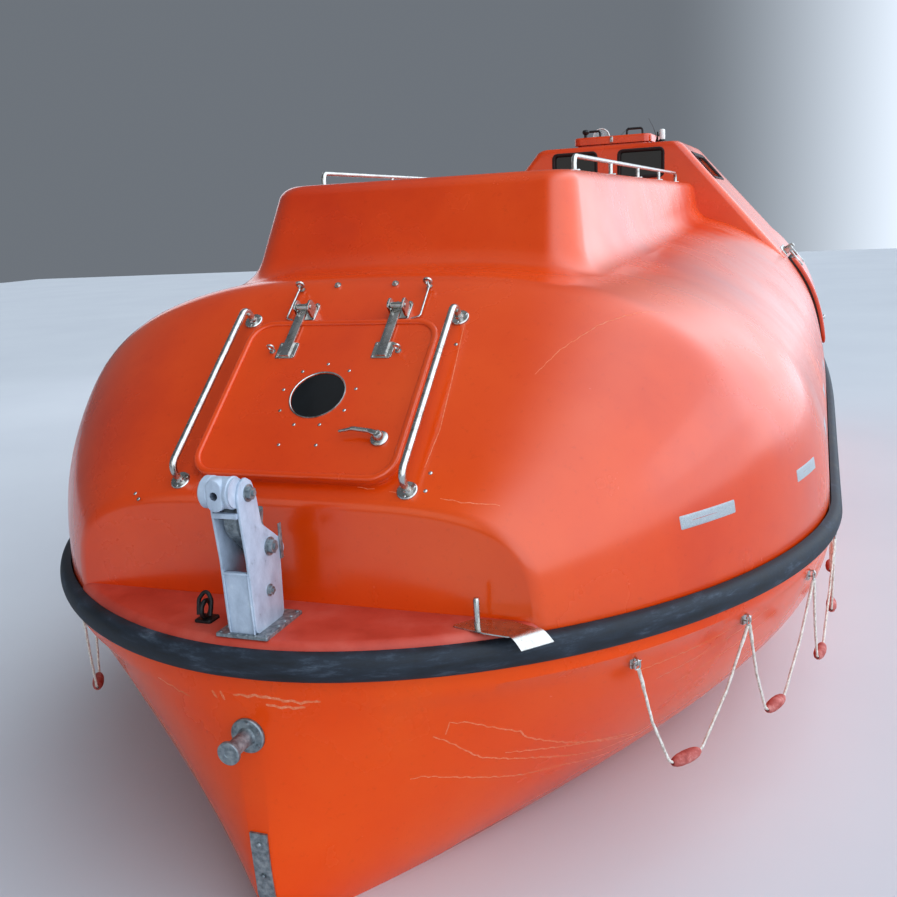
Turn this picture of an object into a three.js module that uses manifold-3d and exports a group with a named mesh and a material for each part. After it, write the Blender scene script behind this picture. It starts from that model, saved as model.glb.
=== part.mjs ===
// Totally enclosed lifeboat, 8.8 m long, seen afloat.
// Millimetres. +Z is up, -Y is the bow, +X is port. The origin is on the centreline,
// amidships, at the design waterline.
import * as THREE from 'three';
import { mergeVertices } from 'three/addons/utils/BufferGeometryUtils.js';
import Module from 'manifold-3d';

const wasm = await Module();
wasm.setup();

// Main dimensions
const LENGTH = 8800;            // over the fender
const BEAM = 3400;              // over the fender
const GAP = 0.3;                // between pieces that touch
const WALL = 60;                // cabin shell: skin, foam and liner
const GUNWALE = 900;            // height of the hull flange above the waterline
const BOTTOM = -400;            // underside of the hull amidships
const KEEL_BOTTOM = -550;
const STEM_HALF = 35;           // half width of the flat strip at stem, keel and stern
const FENDER_HIGH = 90;
const FENDER_DEEP = 45;
const BOW_SHEER = 44;           // rise of the fender towards the bow
const DECK = 1010;              // top of the fore and after decks
const BULKHEAD_FORE = -4030;    // front of the cabin
const BULKHEAD_AFT = 3760;      // back of the cabin
const FORE_SLOPE = 0.83;        // rise of the cabin front that holds the bow hatch
const AFT_SLOPE = 0.9;
const KNUCKLE_FORE = 1345;      // height where the cabin front starts to slope
const KNUCKLE_AFT = 1420;
const SHOULDER = 2005;          // cabin height under the front of the trunk
const SHOULDER_Y = -2950;
const ROOF_RISE = 0.04;         // cabin roof climbs slowly towards the stern
const SHAFT_Z = -310;

// Finishes
function finish(color, roughness, metalness = 0) {
  return new THREE.MeshStandardMaterial({ color, roughness, metalness });
}
const ORANGE = finish(0xe0481a, 0.25);
const RUBBER = finish(0x23262b, 0.75);
const HOOK_GREY = finish(0xb9c4d3, 0.45);
const STAINLESS = finish(0xc8c8c4, 0.25, 1);
const GALVANISED = finish(0x8d9397, 0.55, 0.8);
const BLACK_STEEL = finish(0x26221f, 0.6, 0.5);
const DARK_GLASS = finish(0x0b0d0f, 0.05);
const BRONZE = finish(0xa9803f, 0.35, 1);
const WHITE_PLASTIC = finish(0xe8e8e4, 0.4);
const ENGINE_GREEN = finish(0x4d6b58, 0.6);

const boat = new THREE.Group();

function add(name, geometry, material) {
  const mesh = new THREE.Mesh(geometry, material);
  mesh.name = name;
  boat.add(mesh);
  return mesh;
}

// Solids and booleans
function bare(geometry) {
  const copy = geometry.clone();
  copy.deleteAttribute('normal');
  copy.deleteAttribute('uv');
  return mergeVertices(copy, 1e-3);
}

function solid(geometry) {
  const merged = bare(geometry);
  return new wasm.Manifold(new wasm.Mesh({
    numProp: 3,
    vertProperties: Float32Array.from(merged.attributes.position.array),
    triVerts: Uint32Array.from(merged.index.array),
  }));
}

function shape(manifold) {
  const mesh = manifold.getMesh();
  const geometry = new THREE.BufferGeometry();
  geometry.setAttribute('position', new THREE.BufferAttribute(mesh.vertProperties, 3));
  geometry.setIndex(new THREE.BufferAttribute(mesh.triVerts, 1));
  return geometry;
}

function union(solids) {
  return solids.reduce((whole, next) => whole.add(next));
}

function join(...geometries) {
  return shape(union(geometries.map(solid)));
}

function cut(geometry, ...tools) {
  return shape(tools.reduce((left, tool) => left.subtract(solid(tool)), solid(geometry)));
}

// Simple forms
function box(low, high) {
  const size = high.map((value, axis) => value - low[axis]);
  const middle = high.map((value, axis) => (value + low[axis]) / 2);
  return new THREE.BoxGeometry(...size).translate(...middle);
}

function rod(from, to, radius, sides = 12, endRadius = radius) {
  const start = new THREE.Vector3(...from);
  const along = new THREE.Vector3(...to).sub(start);
  const turn = new THREE.Quaternion().setFromUnitVectors(
    new THREE.Vector3(0, 1, 0), along.clone().normalize());
  return new THREE.CylinderGeometry(endRadius, radius, along.length(), sides)
    .applyQuaternion(turn)
    .translate(...start.addScaledVector(along, 0.5).toArray());
}

function roundedShape(width, height, radius, x = 0, y = 0) {
  const outline = new THREE.Shape();
  const [left, right] = [x - width / 2, x + width / 2];
  const [low, high] = [y - height / 2, y + height / 2];
  outline.moveTo(left + radius, low);
  outline.lineTo(right - radius, low);
  outline.absarc(right - radius, low + radius, radius, -Math.PI / 2, 0);
  outline.lineTo(right, high - radius);
  outline.absarc(right - radius, high - radius, radius, 0, Math.PI / 2);
  outline.lineTo(left + radius, high);
  outline.absarc(left + radius, high - radius, radius, Math.PI / 2, Math.PI);
  outline.lineTo(left, low + radius);
  outline.absarc(left + radius, low + radius, radius, Math.PI, Math.PI * 1.5);
  return outline;
}

// Extrudes an outline drawn in X and Y from one height to another.
function slab(outline, low, high) {
  return new THREE.ExtrudeGeometry(outline, {
    depth: high - low, bevelEnabled: false, curveSegments: 2,
  }).translate(0, 0, low);
}

// Extrudes a side view, drawn as [y, z] points, across the boat.
function sideSlab(points, left, right) {
  const outline = Array.isArray(points)
    ? new THREE.Shape(points.map(([y, z]) => new THREE.Vector2(y, z)))
    : points;
  const turned = new THREE.Matrix4().makeBasis(
    new THREE.Vector3(0, 1, 0), new THREE.Vector3(0, 0, 1), new THREE.Vector3(1, 0, 0));
  return slab(outline, left, right).applyMatrix4(turned);
}

// A round bar bent along straight runs, with rounded corners.
function bentBar(points, radius, bend, sides = 6) {
  const route = new THREE.CurvePath();
  const corners = points.map((point) => new THREE.Vector3(...point));
  let start = corners[0];
  for (let i = 1; i < corners.length - 1; i += 1) {
    const back = corners[i].clone().lerp(corners[i - 1], bend / corners[i].distanceTo(corners[i - 1]));
    const on = corners[i].clone().lerp(corners[i + 1], bend / corners[i].distanceTo(corners[i + 1]));
    route.add(new THREE.LineCurve3(start, back));
    route.add(new THREE.QuadraticBezierCurve3(back, corners[i], on));
    start = on;
  }
  route.add(new THREE.LineCurve3(start, corners.at(-1)));
  const places = [];
  for (const curve of route.curves) {
    const steps = curve instanceof THREE.LineCurve3 ? 1 : 3;
    for (let k = 0; k < steps; k += 1) places.push(curve.getPoint(k / steps));
  }
  places.push(corners.at(-1));
  return sweep(places, radius, sides);
}

// A round section carried along a list of places, closed at both ends.
function sweep(places, radius, sides) {
  const loops = [];
  let side = null;
  places.forEach((place, i) => {
    const ahead = places[Math.min(i + 1, places.length - 1)];
    const behind = places[Math.max(i - 1, 0)];
    const along = ahead.clone().sub(behind).normalize();
    if (side === null) {
      const up = Math.abs(along.z) > 0.9 ? new THREE.Vector3(0, 1, 0) : new THREE.Vector3(0, 0, 1);
      side = up.cross(along).normalize();
    }
    side = side.clone().addScaledVector(along, -side.dot(along)).normalize();
    const other = along.clone().cross(side);
    const loop = [];
    for (let k = 0; k < sides; k += 1) {
      const angle = (k / sides) * 2 * Math.PI;
      loop.push(place.clone()
        .addScaledVector(side, radius * Math.cos(angle))
        .addScaledVector(other, radius * Math.sin(angle)));
    }
    loops.push(loop);
  });
  return loft(loops);
}

// Joins loops of equally many points into one skin. The ends are closed to their middle,
// or, on a ring, the last loop meets the first.
function loft(loops, ringShaped = false) {
  const count = loops[0].length;
  const positions = loops.flat().flatMap((p) => [p.x, p.y, p.z]);
  const faces = [];
  const rows = ringShaped ? loops.length : loops.length - 1;
  for (let row = 0; row < rows; row += 1) {
    const next = (row + 1) % loops.length;
    for (let k = 0; k < count; k += 1) {
      const j = (k + 1) % count;
      const [a, b] = [row * count + k, row * count + j];
      const [c, d] = [next * count + j, next * count + k];
      faces.push(a, b, c, a, c, d);
    }
  }
  if (!ringShaped) {
    const ends = [[loops[0], 0, -1], [loops.at(-1), (loops.length - 1) * count, 1]];
    for (const [loop, first, way] of ends) {
      const middle = loop.reduce((sum, p) => sum.add(p), new THREE.Vector3()).divideScalar(count);
      const hub = positions.length / 3;
      positions.push(middle.x, middle.y, middle.z);
      for (let k = 0; k < count; k += 1) {
        const [a, b] = [first + k, first + (k + 1) % count];
        faces.push(hub, ...(way > 0 ? [a, b] : [b, a]));
      }
    }
  }
  const geometry = new THREE.BufferGeometry();
  geometry.setAttribute('position', new THREE.Float32BufferAttribute(positions, 3));
  geometry.setIndex(faces);
  return outward(geometry);
}

// Turns every face round where a skin was wound inside out.
function outward(geometry) {
  const place = geometry.attributes.position;
  const index = geometry.index;
  let volume = 0;
  const [a, b, c] = [new THREE.Vector3(), new THREE.Vector3(), new THREE.Vector3()];
  for (let i = 0; i < index.count; i += 3) {
    a.fromBufferAttribute(place, index.getX(i));
    b.fromBufferAttribute(place, index.getX(i + 1));
    c.fromBufferAttribute(place, index.getX(i + 2));
    volume += a.dot(b.cross(c));
  }
  if (volume < 0) {
    for (let i = 0; i < index.count; i += 3) {
      const first = index.getX(i);
      index.setX(i, index.getX(i + 2));
      index.setX(i + 2, first);
    }
  }
  return geometry;
}

// Plan form. Each waterline runs from a rounded bow through straight sides to a fuller stern.
// depth is 0 at the gunwale and 1 at the bottom of the hull.
const BOW_ENTRY = 2000;
const STERN_RUN = 1700;

function levelAt(z) {
  const top = GUNWALE - 60;
  const depth = Math.max((top - z) / (top - BOTTOM), 0);
  return {
    z,
    half: STEM_HALF + (BEAM / 2 - FENDER_DEEP - STEM_HALF) * (1 - depth ** 1.85) ** (1 / 1.78),
    bow: -LENGTH / 2 + FENDER_DEEP + 1450 * depth ** 8,
    stern: LENGTH / 2 - FENDER_DEEP - 1900 * depth ** 2.85,
    entry: BOW_ENTRY + 780 * depth,
    run: STERN_RUN + 430 * depth,
    bowFullness: 1.8 - 0.96 * depth ** 0.58,
    bowSharpness: 1.84 - 0.32 * depth,
    sternFullness: 2.2 - 0.8 * depth,
  };
}

// Port half of a waterline, as [x, y] from bow to stern.
function halfWaterline(level, bowSteps = 11, midSteps = 4, sternSteps = 8) {
  const points = [];
  const width = level.half - STEM_HALF;
  for (let i = 0; i <= bowSteps; i += 1) {
    const angle = (i / bowSteps) * Math.PI / 2;
    points.push([
      STEM_HALF + width * Math.sin(angle) ** (2 / level.bowFullness),
      level.bow + level.entry * (1 - Math.cos(angle) ** (2 / level.bowSharpness))]);
  }
  const [from, to] = [level.bow + level.entry, level.stern - level.run];
  for (let i = 1; i < midSteps; i += 1) {
    points.push([level.half, from + (to - from) * i / midSteps]);
  }
  for (let i = 0; i <= sternSteps; i += 1) {
    const angle = (1 - i / sternSteps) * Math.PI / 2;
    points.push([
      STEM_HALF + width * Math.sin(angle) ** (2 / level.sternFullness),
      level.stern - level.run * (1 - Math.cos(angle) ** (2 / 2.2))]);
  }
  return points.map(([x, y]) => [x * aftTaper(y, x), y]);
}

// The beam draws in a little towards the stern.
function aftTaper(y, x) {
  return x <= STEM_HALF ? 1 : 1 - 0.15 * (Math.max(y, 0) / (LENGTH / 2)) ** 2 * (1 - STEM_HALF / x);
}

function mirrored(half) {
  return [...half, ...half.map(([x, y]) => [-x, y]).reverse()];
}

function waterline(level, steps) {
  return mirrored(halfWaterline(level, ...(steps ?? [])))
    .map(([x, y]) => new THREE.Vector3(x, y, level.z));
}

// Half breadth of the hull flange at a place along the boat.
const flange = halfWaterline(levelAt(GUNWALE), 40, 10, 40);

function halfBreadth(y) {
  for (let i = 1; i < flange.length; i += 1) {
    const [[x0, y0], [x1, y1]] = [flange[i - 1], flange[i]];
    if (y <= y1) return x0 + (x1 - x0) * Math.max(y - y0, 0) / (y1 - y0);
  }
  return STEM_HALF;
}

// Cabin form. Heights along the centreline are the lowest of three straight lines, with
// soft corners between them.
const CORNER = 22;

function roofHeight(y) {
  const lines = [
    KNUCKLE_FORE + FORE_SLOPE * (y - BULKHEAD_FORE),
    SHOULDER + ROOF_RISE * (y - SHOULDER_Y),
    KNUCKLE_AFT + AFT_SLOPE * (BULKHEAD_AFT - y)];
  const lowest = Math.min(...lines);
  const sum = lines.reduce((total, line) => total + Math.exp((lowest - line) / CORNER), 0);
  return lowest - CORNER * Math.log(sum);
}

// The section is boxy at the bulkheads and rounder amidships.
function boxiness(y) {
  return 2.4 + 1.9 * Math.exp(-(y - BULKHEAD_FORE) / 700) + 1.6 * Math.exp((y - BULKHEAD_AFT) / 700);
}

// One arch of the cabin, moved in from the outer surface by inset.
function arch(y, inset, steps, base = GUNWALE + GAP) {
  const slope = (roofHeight(y + 5) - roofHeight(y - 5)) / 10;
  const half = halfBreadth(y) - 8 - inset;
  const high = roofHeight(y) - inset * Math.hypot(1, slope) - GUNWALE;
  const power = 2 / boxiness(y);
  const loop = [];
  for (let i = 0; i <= steps; i += 1) {
    const angle = (i / steps) * Math.PI;
    const cosine = Math.cos(angle);
    const x = half * Math.sign(cosine) * Math.abs(cosine) ** power;
    const z = GUNWALE + high * Math.abs(Math.sin(angle)) ** power;
    loop.push(new THREE.Vector3(x, y, i === 0 || i === steps ? base : Math.max(z, base)));
  }
  return loop;
}

const OUTER_STATIONS = [
  [-4030, 26], [-4020, 9], [-4000, 0], [-3850, 0], [-3650, 0], [-3450, 0], [-3320, 0], [-3250, 0],
  [-3150, 0], [-3000, 0], [-2700, 0], [-2300, 0], [-1600, 0], [-300, 0], [1000, 0], [1700, 0],
  [2400, 0], [2780, 0], [2880, 0], [3000, 0], [3250, 0], [3500, 0], [3700, 0], [3750, 9], [3760, 26]];
const INNER_STATIONS = [
  -3960, -3700, -3400, -3280, -3150, -2900, -2300, -1200, 400, 1700, 2600, 2870, 3100, 3400, 3690];

function cabinSkin(offset, stations = OUTER_STATIONS, steps = 20) {
  return loft(stations.map(([y, corner]) => arch(y, corner - offset, steps)));
}

function cabinHollow() {
  return loft(INNER_STATIONS.map((y) => arch(y, WALL, 12, GUNWALE - 40)));
}

function outlineLoop(outline, z) {
  return outline.getPoints(2).slice(0, -1).map((p) => new THREE.Vector3(p.x, p.y, z));
}

// A moulded lid: upright sides and an edge rounded off by one bevel.
function tray(outlineFor, low, high, bevel) {
  return loft([outlineLoop(outlineFor(0), low), outlineLoop(outlineFor(0), high - bevel),
    outlineLoop(outlineFor(bevel), high)]);
}

// A plan outline with rounded corners, as a loop at one height.
function planLoop(z, half, front, back, radius) {
  const corner = Math.min(radius, half - 1, (back - front) / 2 - 1);
  return outlineLoop(roundedShape(2 * half, back - front, corner, 0, (front + back) / 2), z);
}

// Trunk along the cabin roof: [height, half breadth, front, corner radius]
const TRUNK = [
  [1850, 800, -3030, 200],
  [1980, 745, -2960, 170],
  [2060, 712, -2885, 140],
  [2290, 672, -2765, 120],
  [2338, 658, -2738, 110],
  [2358, 632, -2708, 90]];
const TRUNK_BACK = 1500;

function trunkSkin(inset) {
  return loft(TRUNK.map(([z, half, front, radius]) =>
    planLoop(z - (z > 1900 ? inset : 0), half - inset, front + inset, TRUNK_BACK + inset, radius)));
}

// Wheelhouse: [height, half breadth, front, back, corner radius]
const WHEELHOUSE = [
  [1600, 1290, 1376, 3190, 60],
  [1773, 1338, 1384, 3110, 60],
  [2600, 621, 1424, 2740, 60],
  [2655, 573, 1428, 2710, 60],
  [2680, 530, 1460, 2670, 60]];

function wheelhouseSkin(inset) {
  const across = inset * 1.33;      // the sides lean, so a level cut through them is thicker
  return loft(WHEELHOUSE.map(([z, half, front, back, radius]) =>
    planLoop(z - (z > 1600 ? inset : 0), half - across, front + inset, back - inset * 1.1, radius)));
}

// A flat frame of reference on a hatch: its origin, its up direction and its outward normal.
function faceMatrix(origin, up, normal) {
  const across = new THREE.Vector3().crossVectors(up, normal);
  return new THREE.Matrix4().makeBasis(across, up, normal).setPosition(origin);
}

function slopeFrame(y, z, slope, way) {
  const run = 1 / Math.hypot(1, slope);
  return faceMatrix(new THREE.Vector3(0, y, z),
    new THREE.Vector3(0, way * run, slope * run),
    new THREE.Vector3(0, -way * slope * run, run));
}

// Hatches in the sloping ends: width, height, coaming, lid
const HATCH = { width: 740, high: 690, corner: 95, coaming: 14, lid: 40, margin: 20, clear: 60 };
const HATCH_Y = BULKHEAD_FORE + 410 / Math.hypot(1, FORE_SLOPE);
const AFT_HATCH_Y = BULKHEAD_AFT - 440 / Math.hypot(1, AFT_SLOPE);
const BOW_FACE = slopeFrame(HATCH_Y, KNUCKLE_FORE + FORE_SLOPE * (HATCH_Y - BULKHEAD_FORE),
  FORE_SLOPE, 1);
const AFT_FACE = slopeFrame(AFT_HATCH_Y, KNUCKLE_AFT + AFT_SLOPE * (BULKHEAD_AFT - AFT_HATCH_Y),
  AFT_SLOPE, -1);
const PIVOT = { up: 398, out: 52, pin: 8, barrel: 12, spread: 185 };

function hatchCoaming(face) {
  const { width, high, corner, coaming, margin } = HATCH;
  const outline = roundedShape(width - 2 * margin, high - 2 * margin, corner - margin);
  return slab(outline, -45, coaming).applyMatrix4(face);
}

function hatchHole(face) {
  const { width, high, corner, clear } = HATCH;
  const outline = roundedShape(width - 2 * clear, high - 2 * clear, corner - clear);
  return slab(outline, -200, 80).applyMatrix4(face);
}

const HATCH_WINDOW = 96;

function hatchLid(face) {
  const { width, high, corner, coaming, lid } = HATCH;
  const panel = tray((shrink) => roundedShape(width - 2 * shrink, high - 2 * shrink, corner - shrink),
    coaming + GAP, lid, 9);
  const porthole = rod([0, 0, 0], [0, 0, 60], HATCH_WINDOW, 24);
  return cut(panel, porthole).applyMatrix4(face);
}

function hatchGlass(face) {
  return rod([0, 0, 20], [0, 0, 32], HATCH_WINDOW - GAP, 24).applyMatrix4(face);
}

// Steel strap from the lid to the pivot, with the pin that it turns on.
function hatchStrap(face, side) {
  const x = side * PIVOT.spread;
  const plate = box([x - 32, 160, HATCH.lid + GAP], [x + 32, 235, HATCH.lid + 6]);
  const arm = box([x - 19, 200, HATCH.lid + GAP], [x + 19, PIVOT.up - 6, HATCH.lid + 8]);
  const barrel = rod([x - 19, PIVOT.up, PIVOT.out], [x + 19, PIVOT.up, PIVOT.out], PIVOT.barrel);
  const pin = rod([x - 36, PIVOT.up, PIVOT.out], [x + 36, PIVOT.up, PIVOT.out], PIVOT.pin);
  return join(plate, arm, barrel, pin).applyMatrix4(face);
}

// Bracket bolted to the cabin that carries the pin of a strap in two ears.
function hatchBracket(face, side, down = 0) {
  const x = side * PIVOT.spread;
  const parts = [box([x - 34, PIVOT.up - 20, down], [x + 34, PIVOT.up + 62, 6])];
  for (const way of [-1, 1]) {
    const ear = join(
      box([x + way * 27 - 4, PIVOT.up - 18, 4], [x + way * 27 + 4, PIVOT.up + 40, PIVOT.out]),
      rod([x + way * 27 - 4, PIVOT.up, PIVOT.out], [x + way * 27 + 4, PIVOT.up, PIVOT.out], 18));
    parts.push(ear);
  }
  const hole = rod([x - 50, PIVOT.up, PIVOT.out], [x + 50, PIVOT.up, PIVOT.out], PIVOT.pin + 0.5);
  return cut(join(...parts), hole).applyMatrix4(face);
}

// Turning lever with its boss on the lid.
function hatchLever(face, x, up, way = -1) {
  const boss = rod([x, up, HATCH.lid + GAP], [x, up, HATCH.lid + 18], 30, 20, 24);
  const hub = rod([x, up, HATCH.lid + 17], [x, up, HATCH.lid + 34], 13);
  const handle = rod([x, up, HATCH.lid + 28], [x + way * 135, up + 22, HATCH.lid + 30], 8, 10);
  return join(boss, hub, handle).applyMatrix4(face);
}

// Curved side doors: their outline is cut out of layers that follow the cabin skin.
const DOOR = { low: 1075, high: 1745, front: 1680, back: 2420, corner: 90, coaming: 14, lid: 42 };
const DOOR_STATIONS = [[1000, 0], [1700, 0], [2400, 0], [2780, 0]];

function doorPrism(side, shrink) {
  const { low, high, front, back, corner } = DOOR;
  const outline = roundedShape(back - front - 2 * shrink, high - low - 2 * shrink,
    Math.max(corner - shrink, 10), (front + back) / 2, (low + high) / 2);
  const [near, far] = side > 0 ? [1000, 1800] : [-1800, -1000];
  return sideSlab(outline, near, far);
}

function layer(inside, outside, stations) {
  const [big, small] = [outside, inside].map((offset) => solid(cabinSkin(offset, stations)));
  return big.subtract(small);
}

function sideOfCabin(y, z) {
  const share = (z - GUNWALE) / (roofHeight(y) - GUNWALE);
  return (halfBreadth(y) - 8) * (1 - share ** boxiness(y)) ** (1 / boxiness(y));
}

// Hull: a foam-filled tub with benches at both sides and a foot well between them.
const BENCH = 450;
const WELL = { floor: -120, half: 400, front: -2750, back: 2800 };
const HULL_LEVELS = [
  900, 840, 680, 500, 320, 150, 0, -120, -210, -290, -350, -385, -400];

// Outer skin of the hull, grown a little where it trims what is fixed under it
function hullSkin(grow) {
  return loft(HULL_LEVELS.map((z) => {
    const level = levelAt(z);
    return waterline({
      ...level, z: z - (z < GUNWALE ? grow : 0), half: level.half + grow,
      bow: level.bow - grow, stern: level.stern + grow,
    });
  }));
}

function hullSolid() {
  const skin = hullSkin(0);
  const hollow = loft([BENCH, 600, 760, GUNWALE + 20].map((z) => {
    const level = levelAt(Math.min(z, GUNWALE));
    return waterline({
      ...level, z, half: level.half - 72, bow: -3930, stern: 3650, entry: level.entry - 150,
    }, [6, 3, 6]);
  }));
  const well = box([-WELL.half, WELL.front, WELL.floor], [WELL.half, WELL.back, BENCH + 20]);
  const rudderTrunk = rod([0, RUDDER.y, 60], [0, RUDDER.y, 300], 38);
  return cut(join(skin, rudderTrunk), hollow, well);
}

// Underwater gear
const RUDDER = { y: 4010, stock: 18, low: -505, high: 0, chordFore: 65, chordAft: 215 };
const PROPELLER = { y: 3760, radius: 180, hub: 45 };
const GUARD = { inner: 200, outer: 216, front: 3690, back: 3830 };
const SKEG_BACK = 3480;

function centreProfile(end) {
  return HULL_LEVELS.filter((z) => z <= 430).map((z) => [levelAt(z)[end], z]);
}

function movedOut(profile, distance) {
  return profile.map(([y, z], i) => {
    const [y0, z0] = profile[Math.max(i - 1, 0)];
    const [y1, z1] = profile[Math.min(i + 1, profile.length - 1)];
    const length = Math.hypot(y1 - y0, z1 - z0);
    return [y + (z1 - z0) / length * distance, z - (y1 - y0) / length * distance];
  });
}

function stemBand() {
  const profile = [[levelAt(374).bow, 374],
    ...centreProfile('bow').filter(([, z]) => z < 374 && z > -400)];
  const far = movedOut(profile, 8);
  const band = sideSlab([...movedOut(profile, -20), ...far.reverse()], -30, 30);
  return cut(band, hullSkin(GAP));
}

function keelBar() {
  const outline = [[-2870, BOTTOM + 20], [SKEG_BACK - 60, 100], [SKEG_BACK, 60],
    [SKEG_BACK, KEEL_BOTTOM + 24], [RUDDER.y + 60, KEEL_BOTTOM + 24], [RUDDER.y + 60, KEEL_BOTTOM],
    [-2650, KEEL_BOTTOM]];
  return cut(sideSlab(outline, -STEM_HALF, STEM_HALF), hullSkin(GAP));
}

function propeller() {
  const { y, radius, hub } = PROPELLER;
  const shaft = rod([0, SKEG_BACK + GAP, SHAFT_Z], [0, y, SHAFT_Z], 20);
  const boss = rod([0, y - 60, SHAFT_Z], [0, y + 50, SHAFT_Z], hub, 18, hub - 8);
  const nose = rod([0, y + 49, SHAFT_Z], [0, y + 85, SHAFT_Z], hub - 10, 18, 14);
  const blades = [0, 1, 2].map((turn) => {
    const blade = new THREE.SphereGeometry(1, 8, 6)
      .scale(58, 7, 78)
      .rotateZ(0.55)
      .translate(0, 0, radius - 78)
      .rotateY((turn * 2 * Math.PI) / 3)
      .translate(0, y, SHAFT_Z);
    return blade;
  });
  return join(shaft, boss, nose, ...blades);
}

function propellerGuard() {
  const ring = cut(
    rod([0, GUARD.front, SHAFT_Z], [0, GUARD.back, SHAFT_Z], GUARD.outer, 32),
    rod([0, GUARD.front - 9, SHAFT_Z], [0, GUARD.back + 9, SHAFT_Z], GUARD.inner, 32));
  const strutBase = SHAFT_Z + GUARD.outer - 8;
  const strut = box([-10, GUARD.front + 20, strutBase], [10, GUARD.back - 20, 200]);
  const braces = [-1, 1].map((side) => box(
    [side * 150 - 8, GUARD.front + 30, SHAFT_Z + 140], [side * 150 + 8, GUARD.back - 30, 200]));
  return cut(join(ring, strut, ...braces), hullSkin(GAP));
}

function rudder() {
  const { y, stock, low, high, chordFore, chordAft } = RUDDER;
  const foil = new THREE.Shape();
  foil.moveTo(0, y - chordFore);
  foil.quadraticCurveTo(30, y - chordFore, 26, y + 10);
  foil.lineTo(4, y + chordAft);
  foil.lineTo(-4, y + chordAft);
  foil.lineTo(-26, y + 10);
  foil.quadraticCurveTo(-30, y - chordFore, 0, y - chordFore);
  const shaft = rod([0, y, KEEL_BOTTOM + 24 + GAP], [0, y, 60 - GAP], stock);
  return join(slab(foil, low, high), shaft);
}

// Rubber fender: a D section round the whole hull flange.
function fender() {
  const edge = waterline(levelAt(GUNWALE));
  const section = [];
  const steps = 5;
  for (let i = 0; i <= steps; i += 1) {
    const angle = (i / steps - 0.5) * Math.PI;
    section.push([FENDER_DEEP * Math.cos(angle) ** 0.7, FENDER_HIGH / 2 * Math.sin(angle)]);
  }
  const loops = edge.map((point, i) => {
    const before = edge[(i + edge.length - 1) % edge.length];
    const after = edge[(i + 1) % edge.length];
    const out = new THREE.Vector2(after.y - before.y, before.x - after.x).normalize();
    const rise = BOW_SHEER * (Math.min(point.y, 0) / (LENGTH / 2)) ** 2;
    return section.map(([deep, high]) => new THREE.Vector3(
      point.x + out.x * (deep + 1), point.y + out.y * (deep + 1), GUNWALE + rise + high));
  });
  return loft(loops, true);
}

// Solid end decks between the flange and the cabin bulkheads.
function endDeck(limit, way) {
  const rows = [[GUNWALE + GAP, 0], [985, 0], [998, 5], [1006, 16], [DECK, 40]];
  const whole = loft(rows.map(([z, inset]) => {
    const level = levelAt(GUNWALE);
    return waterline({
      ...level, z, half: level.half - inset, bow: level.bow + inset, stern: level.stern - inset,
    });
  }));
  const reach = way < 0 ? [[-2000, -5000, 0], [2000, limit - GAP, 2000]]
    : [[-2000, limit + GAP, 0], [2000, 5000, 2000]];
  return shape(solid(whole).intersect(solid(box(...reach))));
}

// Lifting hook at each end. Side view points are [y, z] for the bow.
const HOOK = {
  plate: 8, half: 48, width: 25, pin: 15,
  pivot: [-4214, 1259], top: [-4303, 1449], lower: [-4235, 1127], barrel: [-4352, 1462],
};
const HOOK_FOOT = DECK + GAP;
const HOOK_SIDE = [
  [-4329, HOOK_FOOT + 8], [-4340, 1252], [-4358, 1392], [-4361, 1449], [-4345, 1484],
  [-4311, 1499], [-4280, 1480], [-4262, 1440], [-4244, 1338], [-4140, 1259], [-4122, 1222],
  [-4154, 1205], [-4162, HOOK_FOOT + 8]];

function hookHousing() {
  const { plate, half, pivot, top, pin } = HOOK;
  const inner = half - plate;
  const base = box([-88, -4342, HOOK_FOOT], [88, -4120, HOOK_FOOT + 10]);
  const sides = [-1, 1].map((way) => sideSlab(HOOK_SIDE,
    way > 0 ? inner : -half, way > 0 ? half : -inner));
  const cover = sideSlab([[-4326, HOOK_FOOT + 8], [-4336, 1210], [-4326, 1210], [-4316, HOOK_FOOT + 8]],
    -inner - 1, inner + 1);
  const bridge = box([-inner - 1, -4364, 1388], [inner + 1, -4350, 1402]);
  const barrel = rod([-62, ...HOOK.barrel], [inner + 1, ...HOOK.barrel], 48, 16);
  const eye = rod([0, -4440, 1462], [0, -4340, 1462], 11, 12);
  const pivotPin = rod([-inner - 1, ...pivot], [inner + 1, ...pivot], pin, 16);
  const spacer = rod([-inner - 1, ...HOOK.lower], [inner + 1, ...HOOK.lower], 9, 12);
  const heads = [[pivot, 26], [HOOK.lower, 17], [top, 22]].flatMap(([place, radius]) =>
    [-1, 1].map((way) => rod([way * (half - 1), ...place], [way * (half + 13), ...place], radius, 6)));
  return cut(join(base, ...sides, cover, bridge, barrel, pivotPin, spacer, ...heads), eye);
}

function hookJaw() {
  const { pivot, pin, width } = HOOK;
  const middle = [-4262, 1368];
  const body = rod([-width, ...middle], [width, ...middle], 76, 24);
  const boss = rod([-width, ...pivot], [width, ...pivot], 36, 16);
  const shank = sideSlab([[-4320, 1330], [-4225, 1225], [-4180, 1262], [-4200, 1330]], -width, width);
  const throatAt = [-4240, 1384];
  const throat = rod([-width - 9, ...throatAt], [width + 9, ...throatAt], 30, 16);
  const mouth = sideSlab([[-4262, 1406], [-4180, 1520], [-4080, 1420], [-4228, 1356]],
    -width - 9, width + 9);
  const bore = rod([-width - 9, ...pivot], [width + 9, ...pivot], pin + 0.6, 16);
  return cut(join(body, boss, shank), throat, mouth, bore);
}

// Everything made for the bow hook is turned round for the stern one.
function astern(geometry) {
  return geometry.clone().rotateZ(Math.PI);
}

// Roof hatch over the helmsman
const ROOF = 2680;
const ROOF_HATCH = { width: 620, front: 1610, back: 2190, coaming: 22, lid: 82, hinge: 2225 };

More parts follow.
